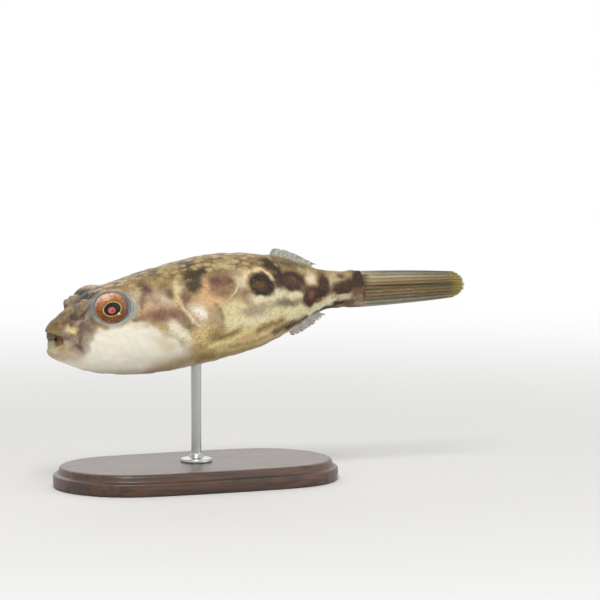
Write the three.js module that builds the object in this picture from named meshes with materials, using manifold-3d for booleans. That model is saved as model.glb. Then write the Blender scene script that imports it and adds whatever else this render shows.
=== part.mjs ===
// A young giant freshwater pufferfish, life size, held over a display base by one rod.
// Millimetres, +Z up. The origin is the centre of the base's underside. The fish faces -X.
// The body is one loft, parted by thin cuts into head, lower jaw, trunk and tail stalk.
import * as THREE from "three";
import { mergeVertices } from "three/addons/utils/BufferGeometryUtils.js";
import Module from "manifold-3d";

const wasm = await Module();
wasm.setup();

// ---------------------------------------------------------------- driving dimensions

const GAP = 0.3; // clearance left between neighbouring pieces
const SNOUT_X = -45; // where the snout's tip stands in the part's frame
const BELLY_Z = 32; // height of the belly's lowest point over the table
const STALK_END = 95.5; // snout to the end of the fleshy tail stalk
const TOTAL_LENGTH = 128.5; // snout to the tip of the tail fin

const BASE = { length: 84, width: 46, thick: 6, bevel: 1.2 };
const ROD = { radius: 1.5, x: 0, depthInBelly: 7, collarRadius: 4.5, collarHigh: 1.6 };

// The body's sections, in the fish's own frame: x runs back from the snout's tip, z up from the
// belly's lowest point. wide is the height of the widest level, half is half of the width there,
// and square is the power of the section's curve: 2 is an ellipse, more is boxier.
const SECTIONS = [
  { x: 0.0, top: 12.6, bottom: 7.4, wide: 10.2, half: 2.2, square: 2.2 },
  { x: 1.2, top: 15.4, bottom: 5.8, wide: 10.5, half: 3.3, square: 2.2 },
  { x: 3.5, top: 17.4, bottom: 4.7, wide: 11.0, half: 4.4, square: 2.2 },
  { x: 7.3, top: 20.2, bottom: 3.2, wide: 12.0, half: 6.1, square: 2.3 },
  { x: 10.8, top: 23.0, bottom: 1.9, wide: 13.1, half: 7.8, square: 2.4 },
  { x: 15.6, top: 25.0, bottom: 0.8, wide: 14.3, half: 9.5, square: 2.5 },
  { x: 21.5, top: 26.8, bottom: 0.2, wide: 15.1, half: 10.8, square: 2.4 },
  { x: 28.4, top: 29.0, bottom: 0.0, wide: 15.7, half: 11.7, square: 2.2 },
  { x: 37.2, top: 31.1, bottom: 0.7, wide: 16.3, half: 12.3, square: 2.1 },
  { x: 47.0, top: 33.1, bottom: 2.3, wide: 17.1, half: 12.4, square: 2.0 },
  { x: 56.7, top: 33.5, bottom: 4.3, wide: 17.9, half: 11.4, square: 2.0 },
  { x: 66.5, top: 32.5, bottom: 7.1, wide: 19.1, half: 9.2, square: 2.0 },
  { x: 74.3, top: 30.4, bottom: 10.9, wide: 20.3, half: 6.6, square: 2.0 },
  { x: 81.1, top: 28.2, bottom: 15.2, wide: 21.5, half: 4.7, square: 2.0 },
  { x: 88.0, top: 27.1, bottom: 16.4, wide: 21.8, half: 3.5, square: 2.0 },
  { x: STALK_END, top: 27.0, bottom: 16.4, wide: 21.8, half: 2.1, square: 2.0 },
];
const BODY_RINGS = 40;
const RING_POINTS = 28;

const MOUTH = { corner: 4.6, low: 8.9, high: 12.5, throat: 8.5 };
const EYE = { x: 16.7, y: 6.9, z: 19.9, radius: 5.3, depth: 3.9, up: 8, forward: 8 };
const ORBIT = { radius: 7.0, depth: 4.3, high: 5.8 };
const CHIN = { setback: 0.5, fadesAt: 5 }; // the lower lip's front lies behind the upper lip's
const NOSTRIL = { y: 5.3, thick: 0.8, leanOut: 22 };
const NOSTRIL_LOBES = [
  { x: 8.1, z: 19.8, half: 1.1, high: 1.7, lean: -16 },
  { x: 10.1, z: 20.9, half: 1.35, high: 2.1, lean: 8 },
];

// Cut planes: a point on each, and how far it leans back towards the belly, in degrees.
const GILL_CUT = { x: 38.8, z: 20.0, lean: 31 };
const STALK_CUT = { x: 80.0, z: 21.0, lean: 0 };
const JAW = { hingeZ: 10.6, throatX: 13.0, throatZ: 0.0 }; // the jaw's back edge, seen from the side

// ---------------------------------------------------------------- solids from geometry

const signedVolume = (positions, index) => {
  const [a, b, c] = [new THREE.Vector3(), new THREE.Vector3(), new THREE.Vector3()];
  let six = 0;
  for (let i = 0; i < index.length; i += 3) {
    a.fromArray(positions, 3 * index[i]);
    b.fromArray(positions, 3 * index[i + 1]);
    c.fromArray(positions, 3 * index[i + 2]);
    six += a.dot(b.cross(c));
  }
  return six / 6;
};

// A closed three.js geometry as a solid whose faces point out.
function solidOf(geometry) {
  const bare = geometry.clone();
  bare.deleteAttribute("normal");
  bare.deleteAttribute("uv");
  const merged = mergeVertices(bare, 1e-4);
  const positions = new Float32Array(merged.attributes.position.array);
  const index = new Uint32Array(merged.index.array);
  if (signedVolume(positions, index) < 0) index.reverse();
  return new wasm.Manifold(
    new wasm.Mesh({ numProp: 3, vertProperties: positions, triVerts: index }),
  );
}

function geometryOf(solid) {
  const mesh = solid.getMesh();
  const geometry = new THREE.BufferGeometry();
  geometry.setAttribute("position", new THREE.BufferAttribute(mesh.vertProperties, 3));
  geometry.setIndex(new THREE.BufferAttribute(mesh.triVerts, 1));
  geometry.computeVertexNormals();
  return geometry;
}

// A closed surface through rings of the same even number of points. Each end is closed by a
// strip that joins a ring's first half to its second half.
function loft(rings) {
  const count = rings[0].length;
  const index = [];
  for (let r = 0; r + 1 < rings.length; r++)
    for (let k = 0; k < count; k++) {
      const [a, b] = [r * count + k, r * count + ((k + 1) % count)];
      index.push(a, b, b + count, a, b + count, a + count);
    }
  const closeEnd = (first, turned) => {
    for (let k = 0; k + 1 < count / 2; k++) {
      const [a, b] = [first + k, first + k + 1];
      const [c, d] = [first + count - 2 - k, first + count - 1 - k];
      index.push(...(turned ? [a, c, b, a, d, c] : [a, b, c, a, c, d]));
    }
  };
  closeEnd(0, true);
  closeEnd((rings.length - 1) * count, false);
  const geometry = new THREE.BufferGeometry().setFromPoints(rings.flat());
  return geometry.setIndex(index);
}

const ellipsoid = (centre, radii, turn = new THREE.Euler(), [round, tall] = [18, 10]) => {
  const shape = new THREE.SphereGeometry(1, round, tall).rotateX(Math.PI / 2);
  const place = new THREE.Matrix4().compose(
    new THREE.Vector3(...centre),
    new THREE.Quaternion().setFromEuler(turn),
    new THREE.Vector3(...radii),
  );
  return solidOf(shape.applyMatrix4(place));
};

// ---------------------------------------------------------------- the body's loft

const columns = ["top", "bottom", "wide", "half", "square"];
const sectionCurve = new THREE.CubicInterpolant(
  Float32Array.from(SECTIONS, (s) => s.x),
  Float32Array.from(SECTIONS.flatMap((s) => columns.map((name) => s[name]))),
  columns.length,
);

// One ring at x, grown outwards by grow. Its points start on the back and go round by the left.
function bodyRing(x, grow = 0) {
  const [top, bottom, wide, half, square] = sectionCurve.evaluate(x);
  const power = 2 / square;
  return Array.from({ length: RING_POINTS }, (_, k) => {
    const angle = ((k + 0.5) / RING_POINTS) * 2 * Math.PI;
    const [side, up] = [Math.sin(angle), Math.cos(angle)];
    const height = up > 0 ? top - wide : wide - bottom;
    const y = -Math.sign(side) * (half + grow) * Math.abs(side) ** power;
    const z = wide + Math.sign(up) * (height + grow) * Math.abs(up) ** power;
    const nearSnout = Math.max(0, 1 - x / CHIN.fadesAt);
    const low = up < 0 ? Math.abs(up) ** power : 0;
    const behind = up < 0 ? CHIN.setback * nearSnout * (1 - 0.5 * low ** 2) : 0;
    return new THREE.Vector3(x + behind, y, z);
  });
}

// The rings lie closer together at the snout, where the outline turns fastest.
function bodyLoft(grow = 0) {
  const places = Array.from(
    { length: BODY_RINGS },
    (_, i) => STALK_END * (i / (BODY_RINGS - 1)) ** 1.35,
  );
  return solidOf(loft(places.map((x) => bodyRing(x, grow))));
}

// Half of space as a large box: what lies ahead of a plane that leans back towards the belly.
function ahead({ x, z, lean }, shift) {
  const reach = 300;
  const box = new THREE.BoxGeometry(reach, reach, reach).translate(-reach / 2 + shift, 0, 0);
  box.rotateY(THREE.MathUtils.degToRad(-lean));
  return solidOf(box.translate(x, 0, z));
}

// A flat shape drawn in the fish's side view, made into a slab across the whole fish.
function slabAcross(shape, curveSegments = 5) {
  const depth = 60;
  const slab = new THREE.ExtrudeGeometry(shape, { depth, bevelEnabled: false, curveSegments });
  return solidOf(slab.translate(0, 0, -depth / 2).rotateX(Math.PI / 2));
}

// ---------------------------------------------------------------- mouth, eyes and nostrils

// The open mouth: a slot across the muzzle, rounded at the corner, and a throat behind it.
function mouthSpace() {
  const { corner, low, high, throat } = MOUTH;
  const slot = new THREE.Shape();
  slot.moveTo(-2, low - 0.3);
  slot.lineTo(corner - 2.2, low);
  slot.quadraticCurveTo(corner, low + 0.5, corner, (low + high) / 2 + 0.4);
  slot.quadraticCurveTo(corner, high, corner - 1.6, high);
  slot.lineTo(-2, high - 0.2);
  const hollow = ellipsoid([corner - 0.8, 0, (low + high) / 2], [throat - corner, 3.0, 1.8]);
  return slabAcross(slot).add(hollow);
}

// All that lies below the mouth and ahead of the line from the mouth's corner to the throat.
function jawBlock(grow) {
  const { hingeZ, throatX, throatZ } = JAW;
  const points = [
    [-5, hingeZ + grow],
    [MOUTH.corner - 0.6 + grow, hingeZ + grow],
    [throatX + 1.3 * grow, throatZ],
    [throatX + 1.3 * grow, -5],
    [-5, -5],
  ].map(([x, z]) => new THREE.Vector2(x, z));
  return slabAcross(new THREE.Shape(points));
}

const eyeTurn = (side) =>
  new THREE.Euler(
    THREE.MathUtils.degToRad(side * EYE.up),
    0,
    THREE.MathUtils.degToRad(side * EYE.forward),
  );

function eyeball(side, grow = 0) {
  const { x, y, z, radius, depth } = EYE;
  const round = radius + grow;
  return ellipsoid([x, side * y, z], [round, depth + grow, round], eyeTurn(side));
}

// The bony ring round each eye, which stands a little above the forehead.
function orbit(side, grow) {
  const radii = [ORBIT.radius, ORBIT.depth, ORBIT.high].map((length) => length + grow);
  return ellipsoid([EYE.x, side * (EYE.y - 0.7), EYE.z - 0.3], radii, eyeTurn(side));
}

// Each nasal organ is a fleshy flap that forks into two rounded lobes, the rear one larger.
function nostril(side, bodyGrown) {
  const { y, thick, leanOut } = NOSTRIL;
  const [front, rear] = NOSTRIL_LOBES.map(({ x, z, half, high, lean }) => {
    const { degToRad } = THREE.MathUtils;
    const turn = new THREE.Euler(degToRad(-side * leanOut), degToRad(lean), 0);
    return ellipsoid([x, side * y, z], [half, thick, high], turn, [12, 8]);
  });
  return front.add(rear).subtract(bodyGrown);
}

// One jaw's beak: a plate bent round the front of the mouth, thinner at its biting edge.
function beak(rootZ, edgeZ) {
  const wall = 0.8;
  const spread = 1.15; // radians either side of the front
  const rings = Array.from({ length: 13 }, (_, i) => {
    const angle = THREE.MathUtils.lerp(-spread, spread, i / 12);
    const at = (radius, z) =>
      new THREE.Vector3(
        3.9 - radius * Math.cos(angle) * 1.02,
        radius * Math.sin(angle) * 0.82,
        z,
      );
    const outer = 3.0;
    return [at(outer, rootZ), at(outer - 0.1, edgeZ), at(outer - 0.35, edgeZ), at(outer - wall, rootZ)];
  });
  return solidOf(loft(rings));
}

// ---------------------------------------------------------------- fins

// A fin of rays and membrane. rootAt, bendAt and tipAt take a share from 0, the first ray, to 1,
// the last, and give three points of that ray's curve. Rays are thicker than the skin between.
function fin({ rays, rootAt, bendAt, tipAt, rootThick, tipThick, steps = 5 }) {
  const across = 2 * (rays - 1);
  const curves = Array.from({ length: across + 1 }, (_, i) => {
    const share = i / across;
    const tip = rootAt(share).lerp(tipAt(share), i % 2 ? 0.98 : 1);
    return new THREE.QuadraticBezierCurve3(rootAt(share), bendAt(share), tip);
  });
  const rings = curves.map((curve, i) => {
    const before = curves[Math.max(i - 1, 0)];
    const after = curves[Math.min(i + 1, across)];
    const near = [];
    const far = [];
    for (let k = 0; k <= steps; k++) {
      const t = k / steps;
      const sideways = after.getPoint(t).sub(before.getPoint(t));
      const normal = sideways.cross(curve.getTangent(t)).normalize();
      const ridge = i % 2 ? 0.72 : 1;
      const halfThick = (THREE.MathUtils.lerp(rootThick, tipThick, t) * ridge) / 2;
      near.push(curve.getPoint(t).addScaledVector(normal, halfThick));
      far.unshift(curve.getPoint(t).addScaledVector(normal, -halfThick));
    }
    return [...near, ...far];
  });
  return solidOf(loft(rings));
}

const lerp = THREE.MathUtils.lerp;
const backAt = (x) => sectionCurve.evaluate(x)[0];
const bellyAt = (x) => sectionCurve.evaluate(x)[1];

// The tail fin is folded to a long blade with a rounded tip.
const caudalFin = () => {
  const start = STALK_END + GAP;
  const tipX = (share) => TOTAL_LENGTH - 3.6 * Math.abs(2 * share - 1) ** 2.6;
  const rootZ = (share) => lerp(27.0, 16.5, share);
  const tipZ = (share) => lerp(25.6, 18.2, share);
  return fin({
    rays: 11,
    rootAt: (share) => new THREE.Vector3(start, 0, rootZ(share)),
    bendAt: (share) =>
      new THREE.Vector3(start + 18, 0, lerp(rootZ(share), tipZ(share), 0.3) + 0.2),
    tipAt: (share) => new THREE.Vector3(tipX(share), 0, tipZ(share)),
    rootThick: 2.6,
    tipThick: 0.75,
    steps: 8,
  });
};

// The dorsal and anal fins beat together, both thrown over to the fish's right, which is +Y.
const dorsalFin = (bodyGrown) => {
  const rootX = (share) => lerp(67.6, 80.0, share);
  const long = (share) => lerp(7.4, 4.0, share) * (1 - 0.25 * (1 - share) ** 6);
  return fin({
    rays: 11,
    rootAt: (share) => new THREE.Vector3(rootX(share), 0, backAt(rootX(share)) - 1.0),
    bendAt: (share) =>
      new THREE.Vector3(rootX(share) + 0.4 * long(share), 0.6, backAt(rootX(share)) + 2.6),
    tipAt: (share) =>
      new THREE.Vector3(
        rootX(share) + 0.82 * long(share),
        0.62 * long(share),
        backAt(rootX(share)) + lerp(0.18, 0.0, share) * long(share),
      ),
    rootThick: 1.3,
    tipThick: 0.72,
  }).subtract(bodyGrown);
};

const analFin = (bodyGrown) => {
  const rootX = (share) => lerp(73.8, 82.6, share);
  const long = (share) => lerp(7.4, 4.4, share) * (1 - 0.25 * (1 - share) ** 6);
  return fin({
    rays: 10,
    rootAt: (share) => new THREE.Vector3(rootX(share), 0, bellyAt(rootX(share)) + 1.0),
    bendAt: (share) =>
      new THREE.Vector3(rootX(share) + 0.35 * long(share), 0.6, bellyAt(rootX(share)) - 2.0),
    tipAt: (share) =>
      new THREE.Vector3(
        rootX(share) + 0.8 * long(share),
        0.62 * long(share),
        bellyAt(rootX(share)) + lerp(0.02, 0.3, share) * long(share),
      ),
    rootThick: 1.3,
    tipThick: 0.72,
  }).subtract(bodyGrown);
};

// A pectoral fin fans back along the flank from a broad root behind the gill slit.
const pectoralFin = (side, bodyGrown) => {
  const rootAt = (share) =>
    new THREE.Vector3(lerp(38.8, 42.8, share), side * 10.8, lerp(22.4, 15.6, share));
  const fan = (share) => THREE.MathUtils.degToRad(18 + 6 * share + 18 * share ** 4);
  const long = (share) => 16.4 * (1 - 0.67 * share ** 1.45) * (1 - 0.06 * (1 - share) ** 6);
  const out = (share, along, y) => {
    const root = rootAt(share);
    const [x, z] = [along * Math.cos(fan(share)), along * Math.sin(fan(share))];
    return new THREE.Vector3(root.x + x, side * y, root.z + z);
  };
  return fin({
    rays: 11,
    rootAt,
    bendAt: (share) => out(share, 0.45 * long(share), lerp(13.7, 14.2, share)),
    tipAt: (share) => out(share, long(share), lerp(12.1, 13.8, share)),
    rootThick: 1.5,
    tipThick: 0.72,
  }).subtract(bodyGrown);
};

// ---------------------------------------------------------------- the stand

function standBase() {
  const { length, width, thick, bevel } = BASE;
  const [straight, round] = [length / 2 - width / 2, width / 2 - bevel];
  const outline = new THREE.Shape();
  outline.moveTo(-straight, -round);
  outline.lineTo(straight, -round);
  outline.absarc(straight, 0, round, -Math.PI / 2, Math.PI / 2, false);
  outline.lineTo(-straight, round);
  outline.absarc(-straight, 0, round, Math.PI / 2, 1.5 * Math.PI, false);
  return new THREE.ExtrudeGeometry(outline, {
    depth: thick - 2 * bevel,
    bevelThickness: bevel,
    bevelSize: bevel,
    bevelSegments: 2,
    curveSegments: 9,
  }).translate(0, 0, bevel);
}

// The rod stands on a collar on the base and ends inside a socket in the belly.
const rodTop = BELLY_Z + bellyAt(ROD.x - SNOUT_X) + ROD.depthInBelly;

function standRod() {
  const { radius, collarRadius, collarHigh } = ROD;
  const foot = BASE.thick;
  const profile = [
    [0, foot],
    [collarRadius, foot],
    [collarRadius, foot + 0.7 * collarHigh],
    [collarRadius - 0.5, foot + collarHigh],
    [radius + 0.6, foot + collarHigh],
    [radius, foot + collarHigh + 0.8],
    [radius, rodTop],
    [0, rodTop],
  ].map(([r, z]) => new THREE.Vector2(r, z));
  return new THREE.LatheGeometry(profile, 20).rotateX(Math.PI / 2).translate(ROD.x, 0, 0);
}

function rodSocket() {
  const long = 2 * ROD.depthInBelly;
  const bore = new THREE.CylinderGeometry(ROD.radius + GAP, ROD.radius + GAP, long, 20);
  bore.rotateX(Math.PI / 2);
  return solidOf(bore.translate(ROD.x - SNOUT_X, 0, rodTop - BELLY_Z + GAP - long / 2));
}

// ---------------------------------------------------------------- the parts, named and coloured

const finish = (color, roughness, metalness = 0) =>
  new THREE.MeshStandardMaterial({ color, roughness, metalness });
const skin = finish(0xb3a27a, 0.45);
const paleSkin = finish(0xddd6c0, 0.45);
const finSkin = finish(0x9a9270, 0.4);
const clearFin = finish(0xb9bba6, 0.35);
const eyeGold = finish(0xb4691c, 0.15);
const ivory = finish(0xcfd3c4, 0.3);
const darkWood = finish(0x2e211a, 0.4);
const steel = finish(0x9a9a98, 0.3, 1);

const fish = new THREE.Group();
fish.position.set(SNOUT_X, 0, BELLY_Z);
const stand = new THREE.Group();

function place(group, name, shape, material) {
  const geometry = shape.isBufferGeometry ? shape : geometryOf(shape);
  const mesh = new THREE.Mesh(geometry, material);
  mesh.name = name;
  group.add(mesh);
}

const SIDES = { left: -1, right: 1 };
const bodyWithOrbits = (grow) =>
  bodyLoft(grow).add(orbit(SIDES.left, grow)).add(orbit(SIDES.right, grow));
const grown = bodyWithOrbits(GAP);
let whole = bodyWithOrbits(0).subtract(mouthSpace()).subtract(rodSocket());
for (const side of Object.values(SIDES)) whole = whole.subtract(eyeball(side, GAP));

const front = whole.intersect(ahead(GILL_CUT, -GAP / 2));
const back = whole.subtract(ahead(GILL_CUT, GAP / 2));
place(fish, "head", front.subtract(jawBlock(GAP)), skin);
place(fish, "lower_jaw", front.intersect(jawBlock(0)), paleSkin);
place(fish, "trunk", back.intersect(ahead(STALK_CUT, -GAP / 2)), skin);
place(fish, "tail_stalk", back.subtract(ahead(STALK_CUT, GAP / 2)), skin);

place(fish, "beak_upper", beak(MOUTH.high - GAP - 0.1, MOUTH.high - 1.5), ivory);
place(fish, "beak_lower", beak(MOUTH.low + GAP, MOUTH.low + 1.7), ivory);
for (const [word, side] of Object.entries(SIDES)) {
  place(fish, `eye_${word}`, eyeball(side), eyeGold);
  place(fish, `nostril_${word}`, nostril(side, grown), skin);
  place(fish, `pectoral_fin_${word}`, pectoralFin(side, grown), clearFin);
}
place(fish, "dorsal_fin", dorsalFin(grown), clearFin);
place(fish, "anal_fin", analFin(grown), clearFin);
place(fish, "caudal_fin", caudalFin(), finSkin);

place(stand, "stand_base", standBase(), darkWood);
place(stand, "stand_rod", standRod(), steel);

const pufferfish = new THREE.Group();
pufferfish.add(fish, stand);

export default pufferfish;
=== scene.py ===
# %% [markdown]
# # A life-size pufferfish on a display stand
#
# The fish is a young, long-tailed freshwater puffer, mouth a little open, held over a wooden base
# by one steel rod. A solid model of it already exists and is loaded first as a fixed frame: it
# gives every size and place. This lesson adds what the solids can't show: one unbroken skin with
# its markings, wet eyes, a beak, and fins thin enough to see through. Lengths are worked out in
# millimetres and turned into Blender's metres only when a mesh is made.

import bpy
import numpy as np
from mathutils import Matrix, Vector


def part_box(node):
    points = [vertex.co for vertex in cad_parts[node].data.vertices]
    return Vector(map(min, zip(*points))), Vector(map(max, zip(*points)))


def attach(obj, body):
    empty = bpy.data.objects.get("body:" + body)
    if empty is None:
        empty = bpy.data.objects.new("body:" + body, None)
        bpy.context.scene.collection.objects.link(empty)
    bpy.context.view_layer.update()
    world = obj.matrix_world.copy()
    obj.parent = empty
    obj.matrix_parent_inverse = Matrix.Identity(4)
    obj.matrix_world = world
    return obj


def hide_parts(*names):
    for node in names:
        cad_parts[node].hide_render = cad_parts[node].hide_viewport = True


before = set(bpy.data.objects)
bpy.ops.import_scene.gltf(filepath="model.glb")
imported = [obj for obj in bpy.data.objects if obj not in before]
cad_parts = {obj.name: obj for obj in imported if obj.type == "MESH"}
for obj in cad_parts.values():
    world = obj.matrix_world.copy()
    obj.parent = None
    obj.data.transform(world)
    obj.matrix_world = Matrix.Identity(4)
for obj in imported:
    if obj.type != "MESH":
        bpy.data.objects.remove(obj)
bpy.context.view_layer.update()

# %% [markdown]
# ## Where the fish is
#
# The fish has its own axes: x runs back from the tip of the snout, y to its right, and z up from
# the lowest point of the belly. The frame's boxes say where that origin stands, so every shape
# below can be given in the fish's own millimetres and still land exactly on the solids.

# %% The fish's own origin
head_low = np.array(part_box("head")[0]) * 1000
stalk_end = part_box("tail_stalk")[1][0] * 1000 - head_low[0]
tail_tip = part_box("caudal_fin")[1][0] * 1000 - head_low[0]
fish_origin = np.array([head_low[0], 0.0, head_low[2]])
print("snout at", fish_origin, "mm; stalk ends", round(stalk_end, 2), "tail tip", round(tail_tip, 2))

# %% [markdown]
# ## Small tools for shapes
#
# Three tools carry most of the modelling. The first draws a smooth curve through a few stated
# stops, so that a whole outline needs only a short table. The second is a soft step, used
# wherever one thing fades into another. The third is a seeded ripple, a sum of slow sine waves in
# many directions, which takes the machine-made evenness out of edges and surfaces.

# %% Curves, soft steps and ripples
def curve_through(stops, at):
    """Cubic curve through rows of (place, value, value...), its slope at each row being the
    average of the slopes either side, weighted towards the nearer neighbour."""
    stops = np.asarray(stops, float)
    places, values = stops[:, 0], stops[:, 1:]
    gaps = np.diff(places)
    slopes = np.diff(values, axis=0) / gaps[:, None]
    before, after = gaps[:-1, None], gaps[1:, None]
    middle = (slopes[:-1] * after + slopes[1:] * before) / (before + after)
    tangents = np.vstack([slopes[:1], middle, slopes[-1:]])
    at = np.clip(np.asarray(at, float), places[0], places[-1])
    i = np.clip(np.searchsorted(places, at, side="right") - 1, 0, len(places) - 2)
    t = ((at - places[i]) / gaps[i])[..., None]
    gap = gaps[i][..., None]
    start = values[i] * (1 + 2 * t) * (1 - t) ** 2 + tangents[i] * gap * t * (1 - t) ** 2
    end = values[i + 1] * t**2 * (3 - 2 * t) - tangents[i + 1] * gap * t**2 * (1 - t)
    return np.moveaxis(start + end, -1, 0)


def ease(value, start, end):
    """Soft step: 0 up to start, 1 from end on, and 3t^2 - 2t^3 between them."""
    t = np.clip((value - start) / (end - start), 0, 1)
    return t * t * (3 - 2 * t)


def ripple(points, size, seed, waves=16):
    """Sum of sine waves about size long, in seeded directions, scaled to swing about -1 to 1."""
    chance = np.random.default_rng(seed)
    headings = chance.normal(size=(waves, 3))
    headings /= np.linalg.norm(headings, axis=1)[:, None]
    lengths = size * chance.uniform(0.7, 1.6, waves)
    total = 0
    for heading, length, phase in zip(headings, lengths, chance.uniform(0, 6.28, waves)):
        total = total + np.sin(points @ heading * (2 * np.pi / length) + phase)
    return total / np.sqrt(waves * 0.7)


def signed_power(value, power):
    """The size of value raised to power, with value's sign kept."""
    return np.sign(value) * np.abs(value) ** power


print("half way through a soft step from 0 to 4:", float(ease(2, 0, 4)))


# %% [markdown]
# Each surface is a grid of points. A shell keeps such a grid with its faces and with whatever
# else is known at each point, such as a colour. The rows of a tube close on themselves, and a
# single point closes each end. Several shells can go into one mesh.

# %% Shells and meshes
class Shell:
    """A grid of points (rows, columns, 3) in millimetres, joined into faces that point outwards."""

    def __init__(self, grid, around=True, closed_ends=True, **facts):
        rows, columns = grid.shape[:2]
        self.points = grid.reshape(-1, 3)
        self.facts = {}
        for name, values in facts.items():
            self.facts[name] = np.asarray(values).reshape(rows * columns, -1)
        number = np.arange(rows * columns).reshape(rows, columns)
        beside = np.roll(number, -1, axis=1) if around else number[:, 1:]
        here = number if around else number[:, :-1]
        self.faces = np.stack([here[:-1], here[1:], beside[1:], beside[:-1]], -1).reshape(-1, 4)
        self.corners = np.empty((0, 3), int)
        if closed_ends:
            self.close(number[0], beside[0], grid[0])
            self.close(beside[-1], number[-1], grid[-1])
        if self.volume() < 0:
            self.faces = self.faces[:, ::-1]
            self.corners = self.corners[:, ::-1]

    def close(self, ring, beside, ring_points):
        """A fan of triangles from the ring's middle point, which takes the ring's average facts."""
        pole = len(self.points)
        self.points = np.vstack([self.points, ring_points.mean(axis=0)])
        for name, values in self.facts.items():
            self.facts[name] = np.vstack([values, values[ring].mean(axis=0)])
        self.corners = np.vstack([self.corners, np.stack([np.full(len(ring), pole), ring, beside], 1)])

    def volume(self):
        """Six times the signed volume: each face's corner times the cross product of its edges."""
        p, f, c = self.points - self.points.mean(axis=0), self.faces, self.corners
        quads = np.cross(p[f[:, 1]] - p[f[:, 3]], p[f[:, 2]] - p[f[:, 0]])
        fans = np.cross(p[c[:, 1]] - p[c[:, 0]], p[c[:, 2]] - p[c[:, 0]])
        return -(quads * p[f[:, 0]]).sum() + (fans * p[c[:, 0]]).sum()


def make_mesh(name, shells, origin, smooth=True):
    """One mesh object of all the shells, in metres, with their facts as point attributes."""
    starts = np.cumsum([0] + [len(shell.points) for shell in shells[:-1]])
    points = np.vstack([shell.points for shell in shells]) + origin
    quads = np.vstack([shell.faces + start for shell, start in zip(shells, starts)])
    fans = np.vstack([shell.corners + start for shell, start in zip(shells, starts)])
    mesh = bpy.data.meshes.new(name)
    mesh.from_pydata((points / 1000).tolist(), [], quads.tolist() + fans.tolist())
    for fact in shells[0].facts:
        values = np.vstack([shell.facts[fact] for shell in shells])
        kind = "FLOAT" if values.shape[1] == 1 else "FLOAT_VECTOR"
        field = "value" if kind == "FLOAT" else "vector"
        kept = mesh.attributes.new(fact, kind, "POINT")
        kept.data.foreach_set(field, values.ravel().astype(np.float32))
    mesh.polygons.foreach_set("use_smooth", [smooth] * len(mesh.polygons))
    mesh.update()
    made = bpy.data.objects.new(name, mesh)
    bpy.context.collection.objects.link(made)
    print(name, "has", 2 * len(quads) + len(fans), "triangles")
    return made


# %% [markdown]
# ## Small tools for materials
#
# A finish is written as arithmetic. A Signal is a number travelling through the material, and
# adding, multiplying or stepping Signals adds the nodes. Colours go through Mix nodes, since a
# Math node would turn them grey: a finish starts from one colour, and each lay puts another over
# it, as a brush does.

# %% Signals and finishes
class Signal:
    """A socket that can be used in arithmetic."""

    def __init__(self, finish, socket):
        self.finish, self.socket = finish, socket

    def _math(self, operation, first, second=0.0):
        settings = {"operation": operation}
        return self.finish.node("ShaderNodeMath", settings, {0: first, 1: second}, out=0)

    def __add__(self, other):
        return self._math("ADD", self, other)

    def __radd__(self, other):
        return self._math("ADD", other, self)

    def __sub__(self, other):
        return self._math("SUBTRACT", self, other)

    def __rsub__(self, other):
        return self._math("SUBTRACT", other, self)

    def __mul__(self, other):
        return self._math("MULTIPLY", self, other)

    def __rmul__(self, other):
        return self._math("MULTIPLY", other, self)

    def __truediv__(self, other):
        return self._math("DIVIDE", self, other)

    def sine(self):
        return self._math("SINE", self)

    def root(self):
        return self._math("SQRT", self)

    def step(self, start, end):
        """A soft step from 0 at start to 1 at end; start may be the larger."""
        inputs = {0: self, 1: start, 2: end, 3: 0.0, 4: 1.0}
        if start > end:
            inputs = {0: self, 1: end, 2: start, 3: 1.0, 4: 0.0}
        settings = {"interpolation_type": "SMOOTHSTEP"}
        return self.finish.node("ShaderNodeMapRange", settings, inputs, out=0)


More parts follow.
